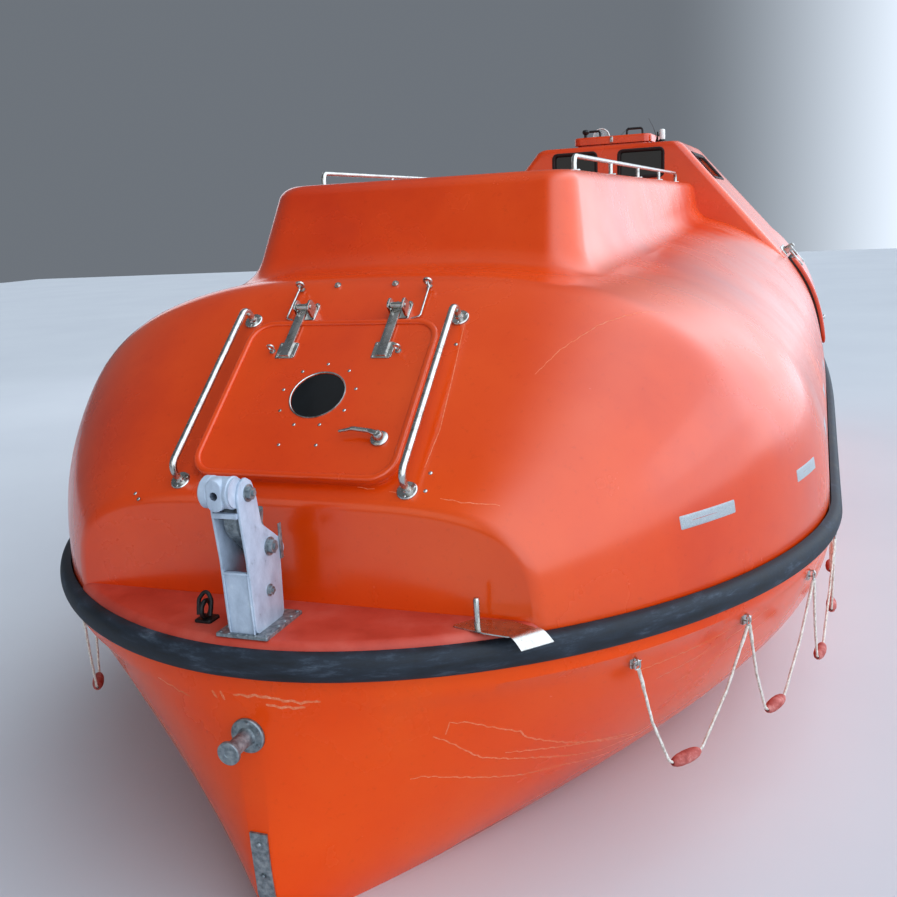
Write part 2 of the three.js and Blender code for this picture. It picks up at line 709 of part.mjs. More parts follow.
function roofOutline(shrink) {
  const { width, front, back } = ROOF_HATCH;
  return roundedShape(width - 2 * shrink, back - front - 2 * shrink, 60 - shrink / 2,
    0, (front + back) / 2);
}

function roofLid() {
  const { coaming, lid, hinge, back } = ROOF_HATCH;
  const panel = tray(roofOutline, ROOF + coaming + GAP, ROOF + lid, 9);
  const z = ROOF + 40;
  const straps = [-190, 190].flatMap((x) => [
    box([x - 18, back - 20, ROOF + 34], [x + 18, hinge - 4, ROOF + 42]),
    rod([x - 18, hinge, z], [x + 18, hinge, z], 12),
    rod([x - 32, hinge, z], [x + 32, hinge, z], 7)]);
  return join(panel, ...straps);
}

function roofHinge() {
  const { hinge } = ROOF_HATCH;
  const z = ROOF + 40;
  const plate = box([-240, hinge - 14, ROOF + GAP], [240, hinge + 40, ROOF + 8]);
  const ears = [-190, 190].flatMap((x) => [-26, 26].map((side) =>
    box([x + side - 4, hinge - 13, ROOF + 6], [x + side + 4, hinge + 16, z + 14])));
  const bores = [-190, 190].map((x) => rod([x - 40, hinge, z], [x + 40, hinge, z], 7.5));
  return cut(join(plate, ...ears), ...bores);
}

function handle(x, y) {
  const top = ROOF + ROOF_HATCH.lid;
  return bentBar([[x - 62, y, top + GAP], [x - 62, y, top + 48], [x + 62, y, top + 48],
    [x + 62, y, top + GAP]], 9, 16);
}

// Wheelhouse windows: name, wall, first and last place along it, low and high edge
const WINDOWS = [
  ['window_front_port', 'front', 95, 425, 2430, 2625],
  ['window_front_starboard', 'front', -425, -95, 2430, 2625],
  ['window_back', 'back', -300, 300, 2420, 2590],
  ['window_side_port', 'port', 1560, 2330, 2400, 2580],
  ['window_side_starboard', 'starboard', 1560, 2330, 2400, 2580]];

function windowPrism(name, shrink) {
  const [, wall, first, last, low, high] = WINDOWS.find(([label]) => label === name);
  const outline = roundedShape(last - first - 2 * shrink, high - low - 2 * shrink, 26,
    (first + last) / 2, (low + high) / 2);
  if (wall === 'port') return sideSlab(outline, 480, 1000);
  if (wall === 'starboard') return sideSlab(outline, -1000, -480);
  const upright = new THREE.Matrix4().makeBasis(
    new THREE.Vector3(1, 0, 0), new THREE.Vector3(0, 0, 1), new THREE.Vector3(0, -1, 0));
  const [near, far] = wall === 'front' ? [-1600, -1300] : [-3000, -2560];
  return slab(outline, near, far).applyMatrix4(upright);
}

function windowPane(name) {
  const sheet = solid(wheelhouseSkin(18)).subtract(solid(wheelhouseSkin(27)));
  return shape(sheet.intersect(solid(windowPrism(name, GAP))));
}

// Cabin shell with its openings
function cabinShell() {
  const outer = union([cabinSkin(0), trunkSkin(0), wheelhouseSkin(0)].map(solid));
  const hollow = union([cabinHollow(), trunkSkin(WALL), wheelhouseSkin(WALL)].map(solid));
  let body = outer.subtract(hollow);
  for (const face of [BOW_FACE, AFT_FACE]) {
    body = body.add(solid(hatchCoaming(face))).subtract(solid(hatchHole(face)));
  }
  for (const side of [-1, 1]) {
    const rim = layer(-30, DOOR.coaming, DOOR_STATIONS).intersect(solid(doorPrism(side, 20)));
    body = body.add(rim).subtract(solid(doorPrism(side, 60)));
  }
  const coaming = slab(roofOutline(20), ROOF - 30, ROOF + ROOF_HATCH.coaming);
  body = body.add(solid(coaming)).subtract(solid(slab(roofOutline(60), ROOF - 200, ROOF + 200)));
  for (const [name] of WINDOWS) body = body.subtract(solid(windowPrism(name, 0)));
  return body;
}

// The shell is split where its panels meet.
const JOINT_FORE = -2300;
const JOINT_AFT = 1376;
const JOINT_ROOF = 2120;
const FAR = 6000;
const PANELS = {
  canopy_fore: [[-FAR, -FAR, 0], [FAR, JOINT_FORE - GAP / 2, FAR]],
  canopy_mid: [[-FAR, JOINT_FORE + GAP / 2, 0], [FAR, JOINT_AFT - GAP / 2, FAR]],
  canopy_aft: [[-FAR, JOINT_AFT + GAP / 2, 0], [FAR, FAR, JOINT_ROOF - GAP / 2]],
  wheelhouse: [[-FAR, JOINT_AFT + GAP / 2, JOINT_ROOF + GAP / 2], [FAR, FAR, FAR]],
};

// What stands on the cabin is trimmed to its skin.
function seated(geometry) {
  return cut(geometry, cabinSkin(GAP), wheelhouseSkin(-GAP));
}

// Side door with the straps that it hangs from
function doorFace(side) {
  const y = (DOOR.front + DOOR.back) / 2;
  const low = new THREE.Vector3(sideOfCabin(y, DOOR.high - 40), 0, DOOR.high - 40);
  const high = new THREE.Vector3(sideOfCabin(y, DOOR.high + 60), 0, DOOR.high + 60);
  const up = high.sub(low).normalize();
  const normal = new THREE.Vector3(up.z, 0, -up.x);
  const origin = new THREE.Vector3(side * sideOfCabin(y, DOOR.high), y, DOOR.high);
  return faceMatrix(origin, new THREE.Vector3(side * up.x, 0, up.z),
    new THREE.Vector3(side * normal.x, 0, normal.z));
}

const DOOR_HINGE = { up: 52, out: 56, spread: 240, pin: 7 };

function sideDoor(side) {
  const { up, out, spread, pin } = DOOR_HINGE;
  const leaf = layer(DOOR.coaming + GAP, DOOR.lid, DOOR_STATIONS).intersect(solid(doorPrism(side, 0)));
  const straps = [-spread, spread].flatMap((u) => [
    box([u - 20, -110, DOOR.lid - 12], [u + 20, up - 4, DOOR.lid + 6]),
    rod([u - 20, up, out], [u + 20, up, out], 13),
    rod([u - 36, up, out], [u + 36, up, out], pin)]);
  const hardware = straps.map((part) => solid(part.applyMatrix4(doorFace(side))));
  return shape(union([leaf, ...hardware]));
}

function doorBracket(side) {
  const { up, out, spread, pin } = DOOR_HINGE;
  const plate = box([-spread - 60, up - 22, -20], [spread + 60, up + 58, 5]);
  const ears = [-spread, spread].flatMap((u) => [-28, 28].map((gap) =>
    box([u + gap - 4, up - 18, -10], [u + gap + 4, up + 22, out + 16])));
  const bores = [-spread, spread].map((u) =>
    rod([u - 45, up, out], [u + 45, up, out], pin + 0.5));
  return seated(cut(join(plate, ...ears), ...bores).applyMatrix4(doorFace(side)));
}

function doorHandle(side) {
  const { lid, low } = DOOR;
  const y = (DOOR.front + DOOR.back) / 2;
  const x = sideOfCabin(y, low + 170);
  const boss = rod([side * (x + 20), y, low + 170], [side * (x + lid + 22), y, low + 170], 26, 20);
  const grip = rod([side * (x + lid + 16), y, low + 170], [side * (x + lid + 20), y + 130, low + 178],
    8, 10);
  return cut(join(boss, grip), shape(layer(-10, lid + GAP, DOOR_STATIONS)));
}

// Polished handrails
function bowHandrail(face, side) {
  const x = side * 408;
  const rail = bentBar([[x, -348, -20], [x, -348, 72], [x, 385, 72], [x, 385, -20]], 12.5, 40, 8);
  const feet = [-348, 385].map((up) => rod([x, up, -20], [x, up, 8], 34, 12));
  return seated(join(rail, ...feet).applyMatrix4(face));
}

function roofRail(side) {
  const [x, top] = [side * 590, 2358 + GAP];
  const [first, spacing, count] = [-2377, 818, 5];
  const last = first + spacing * (count - 1);
  const rail = bentBar([[x, first, top], [x, first, top + 62], [x, last, top + 62],
    [x, last, top]], 11, 30);
  const posts = [];
  for (let k = 0; k < count; k += 1) {
    const y = first + spacing * k;
    if (k > 0 && k < count - 1) posts.push(rod([x, y, top], [x, y, top + 62], 10, 8));
    posts.push(rod([x, y, top], [x, y, top + 6], 26, 10));
  }
  return join(rail, ...posts);
}

// Towing bollard on the stem, painter eye and chafe plate on the fore deck
function bollard() {
  const [z, start] = [705, -LENGTH / 2 + FENDER_DEEP - GAP];
  return join(
    rod([0, start, z], [0, start - 12, z], 48, 20),
    rod([0, start - 10, z], [0, start - 112, z], 25, 16),
    rod([0, start - 105, z], [0, start - 118, z], 36, 20));
}

function painterEye() {
  const [x, y, z] = [-185, -4235, DECK + GAP];
  const foot = box([x - 30, y - 30, z], [x + 30, y + 30, z + 8]);
  const ring = new THREE.TorusGeometry(26, 8, 6, 14).rotateY(Math.PI / 2).translate(x, y, z + 34);
  return join(foot, ring);
}

function chafePlate() {
  const outline = new THREE.Shape([[577, -4120], [633, -4054], [745, -4060], [838, -4102],
    [760, -4168], [690, -4155]].map(([x, y]) => new THREE.Vector2(x, y)));
  const [x, y, z] = [658, -4105, DECK + GAP];
  return join(slab(outline, z, z + 5), rod([x, y, z + 4], [x, y, z + 92], 9, 12));
}

// Lamp, beacon and machinery
function searchlight() {
  const [x, y, z] = [-230, 2420, ROOF + GAP];
  return join(
    rod([x, y, z], [x, y, z + 8], 45, 16),
    rod([x, y, z + 6], [x, y, z + 80], 13, 12),
    rod([x, y - 70, z + 130], [x, y + 55, z + 130], 72, 20, 50),
    box([x - 12, y - 10, z + 60], [x + 12, y + 10, z + 90]));
}

function beacon() {
  const [x, y, z] = [395, 1640, ROOF + GAP];
  return join(
    rod([x, y, z], [x, y, z + 26], 30, 16),
    rod([x, y, z + 24], [x, y, z + 105], 22, 16));
}

// Assembly
add('hull', hullSolid(), ORANGE);
add('keel', keelBar(), ORANGE);
add('stem_band', stemBand(), GALVANISED);
add('fender', fender(), RUBBER);
add('foredeck', endDeck(BULKHEAD_FORE, -1), ORANGE);
add('afterdeck', endDeck(BULKHEAD_AFT, 1), ORANGE);

const shell = cabinShell();
for (const [name, reach] of Object.entries(PANELS)) {
  add(name, shape(shell.intersect(solid(box(...reach)))), ORANGE);
}
for (const [name] of WINDOWS) add(name, windowPane(name), DARK_GLASS);

for (const [end, face] of [['bow', BOW_FACE], ['aft', AFT_FACE]]) {
  add(`${end}_hatch`, hatchLid(face), ORANGE);
  add(`${end}_hatch_window`, hatchGlass(face), DARK_GLASS);
  add(`${end}_hatch_lever`, hatchLever(face, 280, -180), STAINLESS);
  for (const [where, side] of [['port', 1], ['starboard', -1]]) {
    add(`${end}_hatch_strap_${where}`, hatchStrap(face, end === 'bow' ? side : -side), STAINLESS);
    add(`${end}_hatch_bracket_${where}`,
      seated(hatchBracket(face, end === 'bow' ? side : -side, -15)), STAINLESS);
  }
}
for (const [where, side] of [['port', 1], ['starboard', -1]]) {
  add(`side_door_${where}`, sideDoor(side), ORANGE);
  add(`side_door_bracket_${where}`, doorBracket(side), STAINLESS);
  add(`side_door_handle_${where}`, doorHandle(side), STAINLESS);
  add(`bow_handrail_${where}`, bowHandrail(BOW_FACE, side), STAINLESS);
  add(`roof_rail_${where}`, roofRail(side), STAINLESS);
}
add('roof_hatch', roofLid(), ORANGE);
add('roof_hatch_hinge', roofHinge(), STAINLESS);
add('roof_hatch_handle_port', handle(170, 1700), BLACK_STEEL);
add('roof_hatch_handle_starboard', handle(-170, 1700), BLACK_STEEL);

add('fore_hook_frame', hookHousing(), HOOK_GREY);
add('fore_hook', hookJaw(), GALVANISED);
add('aft_hook_frame', astern(hookHousing()), HOOK_GREY);
add('aft_hook', astern(hookJaw()), GALVANISED);
add('bollard', bollard(), GALVANISED);
add('painter_eye', painterEye(), BLACK_STEEL);
add('chafe_plate', chafePlate(), STAINLESS);
add('searchlight', searchlight(), WHITE_PLASTIC);
add('beacon', beacon(), WHITE_PLASTIC);

add('engine_block', box([-300, 1950, WELL.floor + GAP], [300, 2750, 620]), ENGINE_GREEN);
add('propeller', propeller(), BRONZE);
add('propeller_guard', propellerGuard(), GALVANISED);
add('rudder', rudder(), ORANGE);

export default boat;
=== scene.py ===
# Totally enclosed lifeboat, 8.8 m long, afloat. Metres; +Z is up, the bow is at -Y and
# port is +X. The origin is on the centreline, amidships, at the design waterline.
import math

import bmesh
import bpy
import numpy as np
from mathutils import Matrix, Vector


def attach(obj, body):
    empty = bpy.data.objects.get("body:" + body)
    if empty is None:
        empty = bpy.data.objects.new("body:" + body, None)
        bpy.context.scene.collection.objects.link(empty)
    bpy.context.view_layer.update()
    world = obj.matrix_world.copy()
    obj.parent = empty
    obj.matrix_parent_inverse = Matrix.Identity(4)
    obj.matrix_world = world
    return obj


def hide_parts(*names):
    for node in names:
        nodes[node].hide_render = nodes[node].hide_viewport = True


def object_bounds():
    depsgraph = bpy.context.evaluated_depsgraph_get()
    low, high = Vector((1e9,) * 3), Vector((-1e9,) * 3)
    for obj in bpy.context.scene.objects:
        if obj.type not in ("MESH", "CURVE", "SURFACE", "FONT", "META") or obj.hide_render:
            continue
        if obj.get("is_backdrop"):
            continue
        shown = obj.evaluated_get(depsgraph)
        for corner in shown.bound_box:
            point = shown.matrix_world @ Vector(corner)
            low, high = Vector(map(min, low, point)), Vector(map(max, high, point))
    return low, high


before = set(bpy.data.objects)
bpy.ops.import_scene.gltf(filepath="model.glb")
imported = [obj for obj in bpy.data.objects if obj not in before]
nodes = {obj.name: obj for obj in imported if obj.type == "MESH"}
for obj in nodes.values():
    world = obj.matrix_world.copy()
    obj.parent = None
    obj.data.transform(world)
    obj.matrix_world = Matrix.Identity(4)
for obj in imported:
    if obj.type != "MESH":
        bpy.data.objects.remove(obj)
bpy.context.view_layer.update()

scene = bpy.context.scene


# Camera
# A normal lens off the port bow, 1.2 m higher than the fore deck and 2.3 m ahead of it. It
# looks aft and a little down, and leans by three degrees.
SENSOR, FOCAL_LENGTH = 36.0, 40.5
CAMERA_PLACE = (1.572, -6.736, 2.190)
YAW, PITCH, ROLL = math.radians(20.34), math.radians(12.85), math.radians(3.01)
lens = bpy.data.cameras.new("camera")
lens.sensor_width, lens.lens = SENSOR, FOCAL_LENGTH
camera = bpy.data.objects.new("camera", lens)
scene.collection.objects.link(camera)
turn = (Matrix.Rotation(YAW, 4, "Z") @ Matrix.Rotation(math.pi / 2 - PITCH, 4, "X")
        @ Matrix.Rotation(-ROLL, 4, "Z"))
camera.matrix_world = Matrix.Translation(CAMERA_PLACE) @ turn
scene.camera = camera
scene.view_settings.view_transform = "Standard"
scene.view_settings.look = "Medium High Contrast"


# Studio
# A pale floor lies at the waterline. Broad lamps stand off to port, ahead, overhead and
# astern. The surround is dim to starboard and bright to port, and lights that side most.
FLOOR_REACH = 40.0
DIM, BRIGHT = 0.22, 2.2
DIM_UNTIL, BRIGHT_FROM = -0.14, 0.34    # a direction's share of port, from -1 to 1


def add_node(owner, kind, inputs=None, stops=(), **settings):
    """Adds one node to a material or the world. inputs maps a socket to a value or to another
    node's output, and stops are the places and sRGB hex colours of a colour ramp."""
    made = owner.node_tree.nodes.new(kind)
    for name, value in settings.items():
        setattr(made, name, value)
    for socket, value in (inputs or {}).items():
        if isinstance(value, bpy.types.NodeSocket):
            owner.node_tree.links.new(value, made.inputs[socket])
        else:
            made.inputs[socket].default_value = value
    if stops:
        band = made.color_ramp
        while len(band.elements) < len(stops):
            band.elements.new(0.5)
        for element, (place, colour) in zip(band.elements, stops):
            element.position = place
            element.color = linear(colour)
    return made


def linear(hex_colour):
    """Turns an sRGB hex colour into the linear colour that a shader takes."""
    parts = [int(hex_colour[i:i + 2], 16) / 255 for i in (1, 3, 5)]
    return [c / 12.92 if c <= 0.04045 else ((c + 0.055) / 1.055) ** 2.4 for c in parts] + [1.0]


def new_finish(name, colour, roughness, others=None):
    """A material with its shader set; others maps more of the shader's sockets to values."""
    material = bpy.data.materials.new(name)
    material.use_nodes = True
    sockets = material.node_tree.nodes["Principled BSDF"].inputs
    for socket, value in {"Base Color": linear(colour), "Roughness": roughness,
                          "Coat Roughness": 0.08, **(others or {})}.items():
        sockets[socket].default_value = value
    return material


def mottle(material, patch, detail=4.0, breakup=0.55, stretch=(1, 1, 1)):
    """Noise over the boat's own coordinates; patch is the size of its patches in mm."""
    place = add_node(material, "ShaderNodeTexCoord")
    spread = add_node(material, "ShaderNodeMapping", {0: place.outputs["Object"], 3: stretch})
    return add_node(material, "ShaderNodeTexNoise", {
        "Vector": spread.outputs[0], "Scale": 1000 / patch, "Detail": detail,
        "Roughness": breakup}).outputs["Fac"]


def weather(material, pattern, stops=(), gloss=None, relief=None):
    """Lets a pattern drive a finish: its colours, its roughness from a low to a high value,
    and its relief, given as a depth in metres and a strength."""
    driven = {}
    if stops:
        driven["Base Color"] = add_node(material, "ShaderNodeValToRGB", {0: pattern}, stops)
    if gloss:
        driven["Roughness"] = add_node(material, "ShaderNodeMapRange", {
            "Value": pattern, "From Min": 0.25, "From Max": 0.75,
            "To Min": gloss[0], "To Max": gloss[1]}, clamp=True)
    if relief:
        driven["Normal"] = add_node(material, "ShaderNodeBump", {
            "Height": pattern, "Distance": relief[0], "Strength": relief[1]})
    shader = material.node_tree.nodes["Principled BSDF"]
    for socket, made in driven.items():
        material.node_tree.links.new(made.outputs[0], shader.inputs[socket])


# Matt paint in faint broad clouds, so that the floor is not one flat tone.
floor_paint = new_finish("studio_floor", "#c9ccd0", 0.85)
weather(floor_paint, mottle(floor_paint, 2500), [(0.3, "#c6c9cd"), (0.7, "#cccfd2")])
floor_mesh = bpy.data.meshes.new("studio_floor")
floor_mesh.from_pydata([(x, y, 0) for x, y in (
    (-FLOOR_REACH, -FLOOR_REACH), (FLOOR_REACH, -FLOOR_REACH),
    (FLOOR_REACH, FLOOR_REACH), (-FLOOR_REACH, FLOOR_REACH))], [], [(0, 1, 2, 3)])
studio_floor = bpy.data.objects.new("studio_floor", floor_mesh)
studio_floor.data.materials.append(floor_paint)
scene.collection.objects.link(studio_floor)
studio_floor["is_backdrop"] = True

world = bpy.data.worlds.new("studio")
world.use_nodes = True
way = add_node(world, "ShaderNodeSeparateXYZ", {
    0: add_node(world, "ShaderNodeTexCoord").outputs["Generated"]})
glow = add_node(world, "ShaderNodeMapRange", {
    "Value": way.outputs["X"], "From Min": DIM_UNTIL, "From Max": BRIGHT_FROM,
    "To Min": DIM, "To Max": BRIGHT}, interpolation_type="SMOOTHSTEP")
background = world.node_tree.nodes["Background"]
background.inputs[0].default_value = linear("#dce6f2")
world.node_tree.links.new(glow.outputs[0], background.inputs[1])
scene.world = world


def softbox(name, place, target, width, height, power, colour):
    """A flat lamp of a width and a height in metres and a power in watts."""
    light = bpy.data.lights.new(name, "AREA")
    light.shape = "RECTANGLE"
    light.size, light.size_y = width, height
    light.energy = power
    light.color = linear(colour)[:3]
    lamp = bpy.data.objects.new(name, light)
    aim = (Vector(target) - Vector(place)).to_track_quat("-Z", "Y")
    lamp.matrix_world = Matrix.Translation(place) @ aim.to_matrix().to_4x4()
    scene.collection.objects.link(lamp)


softbox("sky_to_port", (10.0, 0.5, 5.0), (0.5, -0.5, 1.0), 10.0, 3.5, 60, "#eef4ff")
softbox("fill_ahead", (-3.0, -11.0, 4.5), (0.0, -3.5, 1.2), 6.0, 4.0, 40, "#fff8f0")
softbox("overhead", (0.5, -2.0, 8.0), (0.0, -2.0, 1.0), 5.0, 8.0, 15, "#ffffff")
softbox("fill_astern", (-8.0, 7.0, 5.0), (0.0, 1.5, 1.0), 6.0, 4.0, 70, "#f4f7ff")


# Hull
# One glass-fibre moulding with pigmented orange gelcoat, polished in the mould: deep gloss,
# faint ripples from hand laying, and pale scuffs where it has touched quays and ice.
STRIP = 0.035               # half width of the flat strip at stem, keel and stern
GUNWALE, UPRIGHT, BOTTOM = 0.900, 0.840, -0.400    # the sides turn in under the second
HALF_BEAM, HALF_LENGTH = 1.620, 4.355              # half beam without the strip
BOW_RAKE, STERN_RAKE = 1.450, 1.900                # how far the ends draw in at the bottom
ENTRY, RUN = 2.000, 1.700                          # lengths of the curved ends
HALF_OVERALL, STERN_TAPER = 4.400, 0.15
TUB_HEIGHTS, TUB_WALL, TUB_BOW, TUB_STERN = (0.450, 0.600, 0.760, 0.920), 0.072, -3.930, 3.650
RUDDER_TRUNK = ((-0.038, 3.972, 0.060), (0.038, 4.048, 0.300))
FOOT_WELL = ((-0.400, -2.750, -0.120), (0.400, 2.800, 0.470))


def gelcoat(name, deep, bright, faded, shine):
    """Glossy moulded gelcoat. The eye gets broad soft fading, a fine pale speckle, rubbed
    patches with less gloss, and the slow ripples of glass that is laid by hand."""
    material = new_finish(name, bright, 0.2, {
        "Coat Weight": 0.12, "IOR": 1.52, "Specular IOR Level": shine})
    tone = add_node(material, "ShaderNodeValToRGB", {0: mottle(material, 1111, 5)},
                    [(0.32, deep), (0.5, bright), (0.72, faded)])
    speckle = add_node(material, "ShaderNodeValToRGB", {0: mottle(material, 26.32, 6, 0.7)},
                       [(0.28, "#b9a79a"), (0.42, "#ffffff")])
    colour = add_node(material, "ShaderNodeMix", {
        0: 0.18, 6: tone.outputs[0], 7: speckle.outputs[0]}, data_type="RGBA",
        blend_type="MULTIPLY")
    shader = material.node_tree.nodes["Principled BSDF"]
    material.node_tree.links.new(colour.outputs[2], shader.inputs["Base Color"])
    weather(material, mottle(material, 454.5, 6), gloss=(0.13, 0.34))
    weather(material, mottle(material, 384.6, 2, 0.4), relief=(0.004, 0.35))
    return material


hull_gelcoat = gelcoat("hull_orange_gelcoat", "#d44002", "#e44b00", "#e85810", 0.3)


def level_at(z):
    """The waterline at one height: its half breadth, ends and fullness."""
    depth = max((UPRIGHT - z) / (UPRIGHT - BOTTOM), 0)
    return {
        "z": z,
        "half": STRIP + HALF_BEAM * (1 - depth ** 1.85) ** (1 / 1.78),
        "bow": -HALF_LENGTH + BOW_RAKE * depth ** 8,
        "stern": HALF_LENGTH - STERN_RAKE * depth ** 2.85,
        "entry": ENTRY + 0.780 * depth, "run": RUN + 0.430 * depth,
        "bow_fullness": 1.8 - 0.96 * depth ** 0.58, "bow_sharpness": 1.84 - 0.32 * depth,
        "stern_fullness": 2.2 - 0.8 * depth}


def half_waterline(level, bow_steps, mid_steps, stern_steps):
    """Port half of a waterline as x and y, from the stem to the stern."""
    width = level["half"] - STRIP
    entering = np.linspace(0, math.pi / 2, bow_steps + 1)
    leaving = np.linspace(math.pi / 2, 0, stern_steps + 1)
    parallel = np.linspace(level["bow"] + level["entry"], level["stern"] - level["run"],
                           mid_steps + 1)[1:-1]
    x = np.concatenate([
        STRIP + width * np.sin(entering) ** (2 / level["bow_fullness"]),
        np.full_like(parallel, level["half"]),
        STRIP + width * np.maximum(np.sin(leaving), 0) ** (2 / level["stern_fullness"])])
    y = np.concatenate([
        level["bow"] + level["entry"] * (1 - np.maximum(np.cos(entering), 0)
                                         ** (2 / level["bow_sharpness"])),
        parallel,
        level["stern"] - level["run"] * (1 - np.maximum(np.cos(leaving), 0) ** (2 / 2.2))])
    taper = STERN_TAPER * (np.maximum(y, 0) / HALF_OVERALL) ** 2
    return x * (1 - taper * (1 - STRIP / np.maximum(x, STRIP))), y


def waterline(level, steps=(64, 16, 44)):
    """A whole waterline as a ring of points, port side first."""
    x, y = half_waterline(level, *steps)
    ring = [(a, b, level["z"]) for a, b in zip(x, y)]
    return ring + [(-a, b, c) for a, b, c in reversed(ring)]


def skin(rings, ringed=False):
    """Points and faces of a surface laid over rings of equally many points. It is closed by
    a face at each end or, where it is ringed, from its last ring to its first."""
    count = len(rings[0])
    points = [tuple(p) for ring in rings for p in ring]
    faces = []
    for row in range(len(rings) if ringed else len(rings) - 1):
        after = (row + 1) % len(rings)
        for k in range(count):
            j = (k + 1) % count
            faces.append((row * count + k, row * count + j, after * count + j, after * count + k))
    if not ringed:
        faces.append(tuple(range(count)))
        faces.append(tuple(range(len(points) - count, len(points))))
    return points, faces


def new_piece(name, points, faces, material=None, sharp=35):
    """A closed mesh object with its faces outward, smooth but for edges over sharp degrees."""
    form = bmesh.new()
    corners = [form.verts.new(p) for p in points]
    for face in faces:
        form.faces.new([corners[i] for i in face])
    bmesh.ops.remove_doubles(form, verts=form.verts, dist=1e-6)
    bmesh.ops.recalc_face_normals(form, faces=form.faces)
    mesh = bpy.data.meshes.new(name)
    form.to_mesh(mesh)
    form.free()
    piece = bpy.data.objects.new(name, mesh)
    scene.collection.objects.link(piece)
    return finished(piece, material, sharp)


def finished(piece, material=None, sharp=35):
    """Shades a piece smooth between its sharp edges, and gives it its material."""
    piece.data.polygons.foreach_set("use_smooth", [True] * len(piece.data.polygons))
    piece.data.set_sharp_from_angle(angle=math.radians(sharp))
    if material is not None:
        piece.data.materials.clear()
        piece.data.materials.append(material)
    return piece


def settle(piece):
    """Turns a piece's modifiers into plain mesh."""
    bpy.context.view_layer.update()
    shaped = piece.evaluated_get(bpy.context.evaluated_depsgraph_get())
    plain = bpy.data.meshes.new_from_object(shaped)
    piece.modifiers.clear()
    old = piece.data
    piece.data = plain
    bpy.data.meshes.remove(old)
    return piece


def carve(piece, *tools, way="DIFFERENCE"):
    """Cuts tools out of a piece, or joins them on, and removes the tools."""
    for tool in tools:
        step = piece.modifiers.new("carve", "BOOLEAN")
        step.object, step.operation, step.solver = tool, way, "MANIFOLD"
    settle(piece)
    for tool in set(tools):
        bpy.data.objects.remove(tool)
    return piece


def block(name, low, high):
    """A plain box, used to cut."""
    points = [(x, y, z) for z in (low[2], high[2]) for x, y in (
        (low[0], low[1]), (high[0], low[1]), (high[0], high[1]), (low[0], high[1]))]
    return new_piece(name, *skin([points[:4], points[4:]]))


def dress(piece, body, slot, *replaced):
    """Ties a finished piece to its moving body and hides the nodes it stands for; slot is not used."""
    if replaced:
        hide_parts(*replaced)
    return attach(piece, body)


hull_levels = np.concatenate([
    np.linspace(0.900, 0.840, 3), np.linspace(0.800, 0.000, 21), np.linspace(-0.035, -0.315, 13),
    [-0.332, -0.347, -0.360, -0.371, -0.380, -0.388, -0.394, -0.398, -0.400]])
hull = new_piece("hull_moulding", *skin([waterline(level_at(z)) for z in hull_levels]))
tub_rings = []
for z in TUB_HEIGHTS:
    level = level_at(min(z, GUNWALE))
    level.update(z=z, half=level["half"] - TUB_WALL, bow=TUB_BOW, stern=TUB_STERN,
                 entry=level["entry"] - 0.150)
    tub_rings.append(waterline(level, (24, 6, 20)))
carve(hull, block("rudder_trunk", *RUDDER_TRUNK), way="UNION")
carve(hull, new_piece("tub", *skin(tub_rings)), block("foot_well", *FOOT_WELL))
dress(finished(hull, hull_gelcoat), "boat", "orange_grp", "hull")


# Keel, stem band and fender
# The keel bar and the rudder are laminated like the hull. A galvanised strip is bolted over
# the stem, where the boat is dragged, and a hollow black rubber fender runs round the flange.
FENDER_HIGH, FENDER_DEEP, BOW_SHEER = 0.090, 0.045, 0.044
for place in ("keel", "rudder"):
    finished(nodes[place], hull_gelcoat, 30)

# Hot-dip galvanising: matt zinc, whose crystals show as lighter and darker grey patches.
galvanised = new_finish("hot_dip_galvanising", "#8f979c", 0.5, {"Metallic": 0.75})
weather(galvanised, mottle(galvanised, 18.18, 3, 0.6),
        [(0.3, "#6d7478"), (0.5, "#90989c"), (0.7, "#aeb4b6")], gloss=(0.38, 0.62))
weather(galvanised, mottle(galvanised, 6.25, 3), relief=(0.0004, 0.5))

# Moulded black rubber: dull, with greyer streaks along it where it has rubbed.
fender_rubber = new_finish("scuffed_black_rubber", "#252c34", 0.58)
weather(fender_rubber, mottle(fender_rubber, 142.9, 8, 0.72, (1, 1, 5)),
        [(0.35, "#181d22"), (0.55, "#28303a"), (0.66, "#434d58"), (0.78, "#717a80")],
        gloss=(0.5, 0.8))
weather(fender_rubber, mottle(fender_rubber, 16.67, 5), relief=(0.0012, 0.5))


def fender_rings(reach, steps):
    """Sections of the fender round the flange; reach carries [out, up] of each section."""
    edge = np.array(waterline(level_at(GUNWALE), steps))[:, :2]
    along = np.roll(edge, -1, 0) - np.roll(edge, 1, 0)
    out = np.stack([along[:, 1], -along[:, 0]], 1)
    out /= np.linalg.norm(out, axis=1)[:, None]
    rings = []
    for (x, y), (a, b) in zip(edge, out):
        rise = BOW_SHEER * (min(y, 0) / HALF_OVERALL) ** 2
        rings.append([(x + a * deep, y + b * deep, GUNWALE + rise + high) for deep, high in reach])
    return rings


bulge = [(FENDER_DEEP * math.cos(t) ** 0.62 - 0.001, FENDER_HIGH / 2 * math.sin(t))
         for t in np.linspace(-math.pi / 2, math.pi / 2, 17)]
fender = new_piece("rubber_fender", *skin(fender_rings(bulge, (80, 24, 60)), ringed=True))
dress(finished(fender, fender_rubber, 60), "boat", "fender_rubber", "fender")

nodes["stem_band"].data.materials.clear()
nodes["stem_band"].data.materials.append(galvanised)


# End decks
# Short decks close the hull at the bow and the stern. Their edge is moulded round, over the
# fender, and they are of the same gelcoat as the hull.
DECK, DECK_EDGE = 1.010, 0.030
BULKHEAD_FORE, BULKHEAD_AFT = -4.030, 3.760
GAP = 0.0003                # between pieces that are bolted or laid on each other
FAR = 6.0                   # past every side of the boat

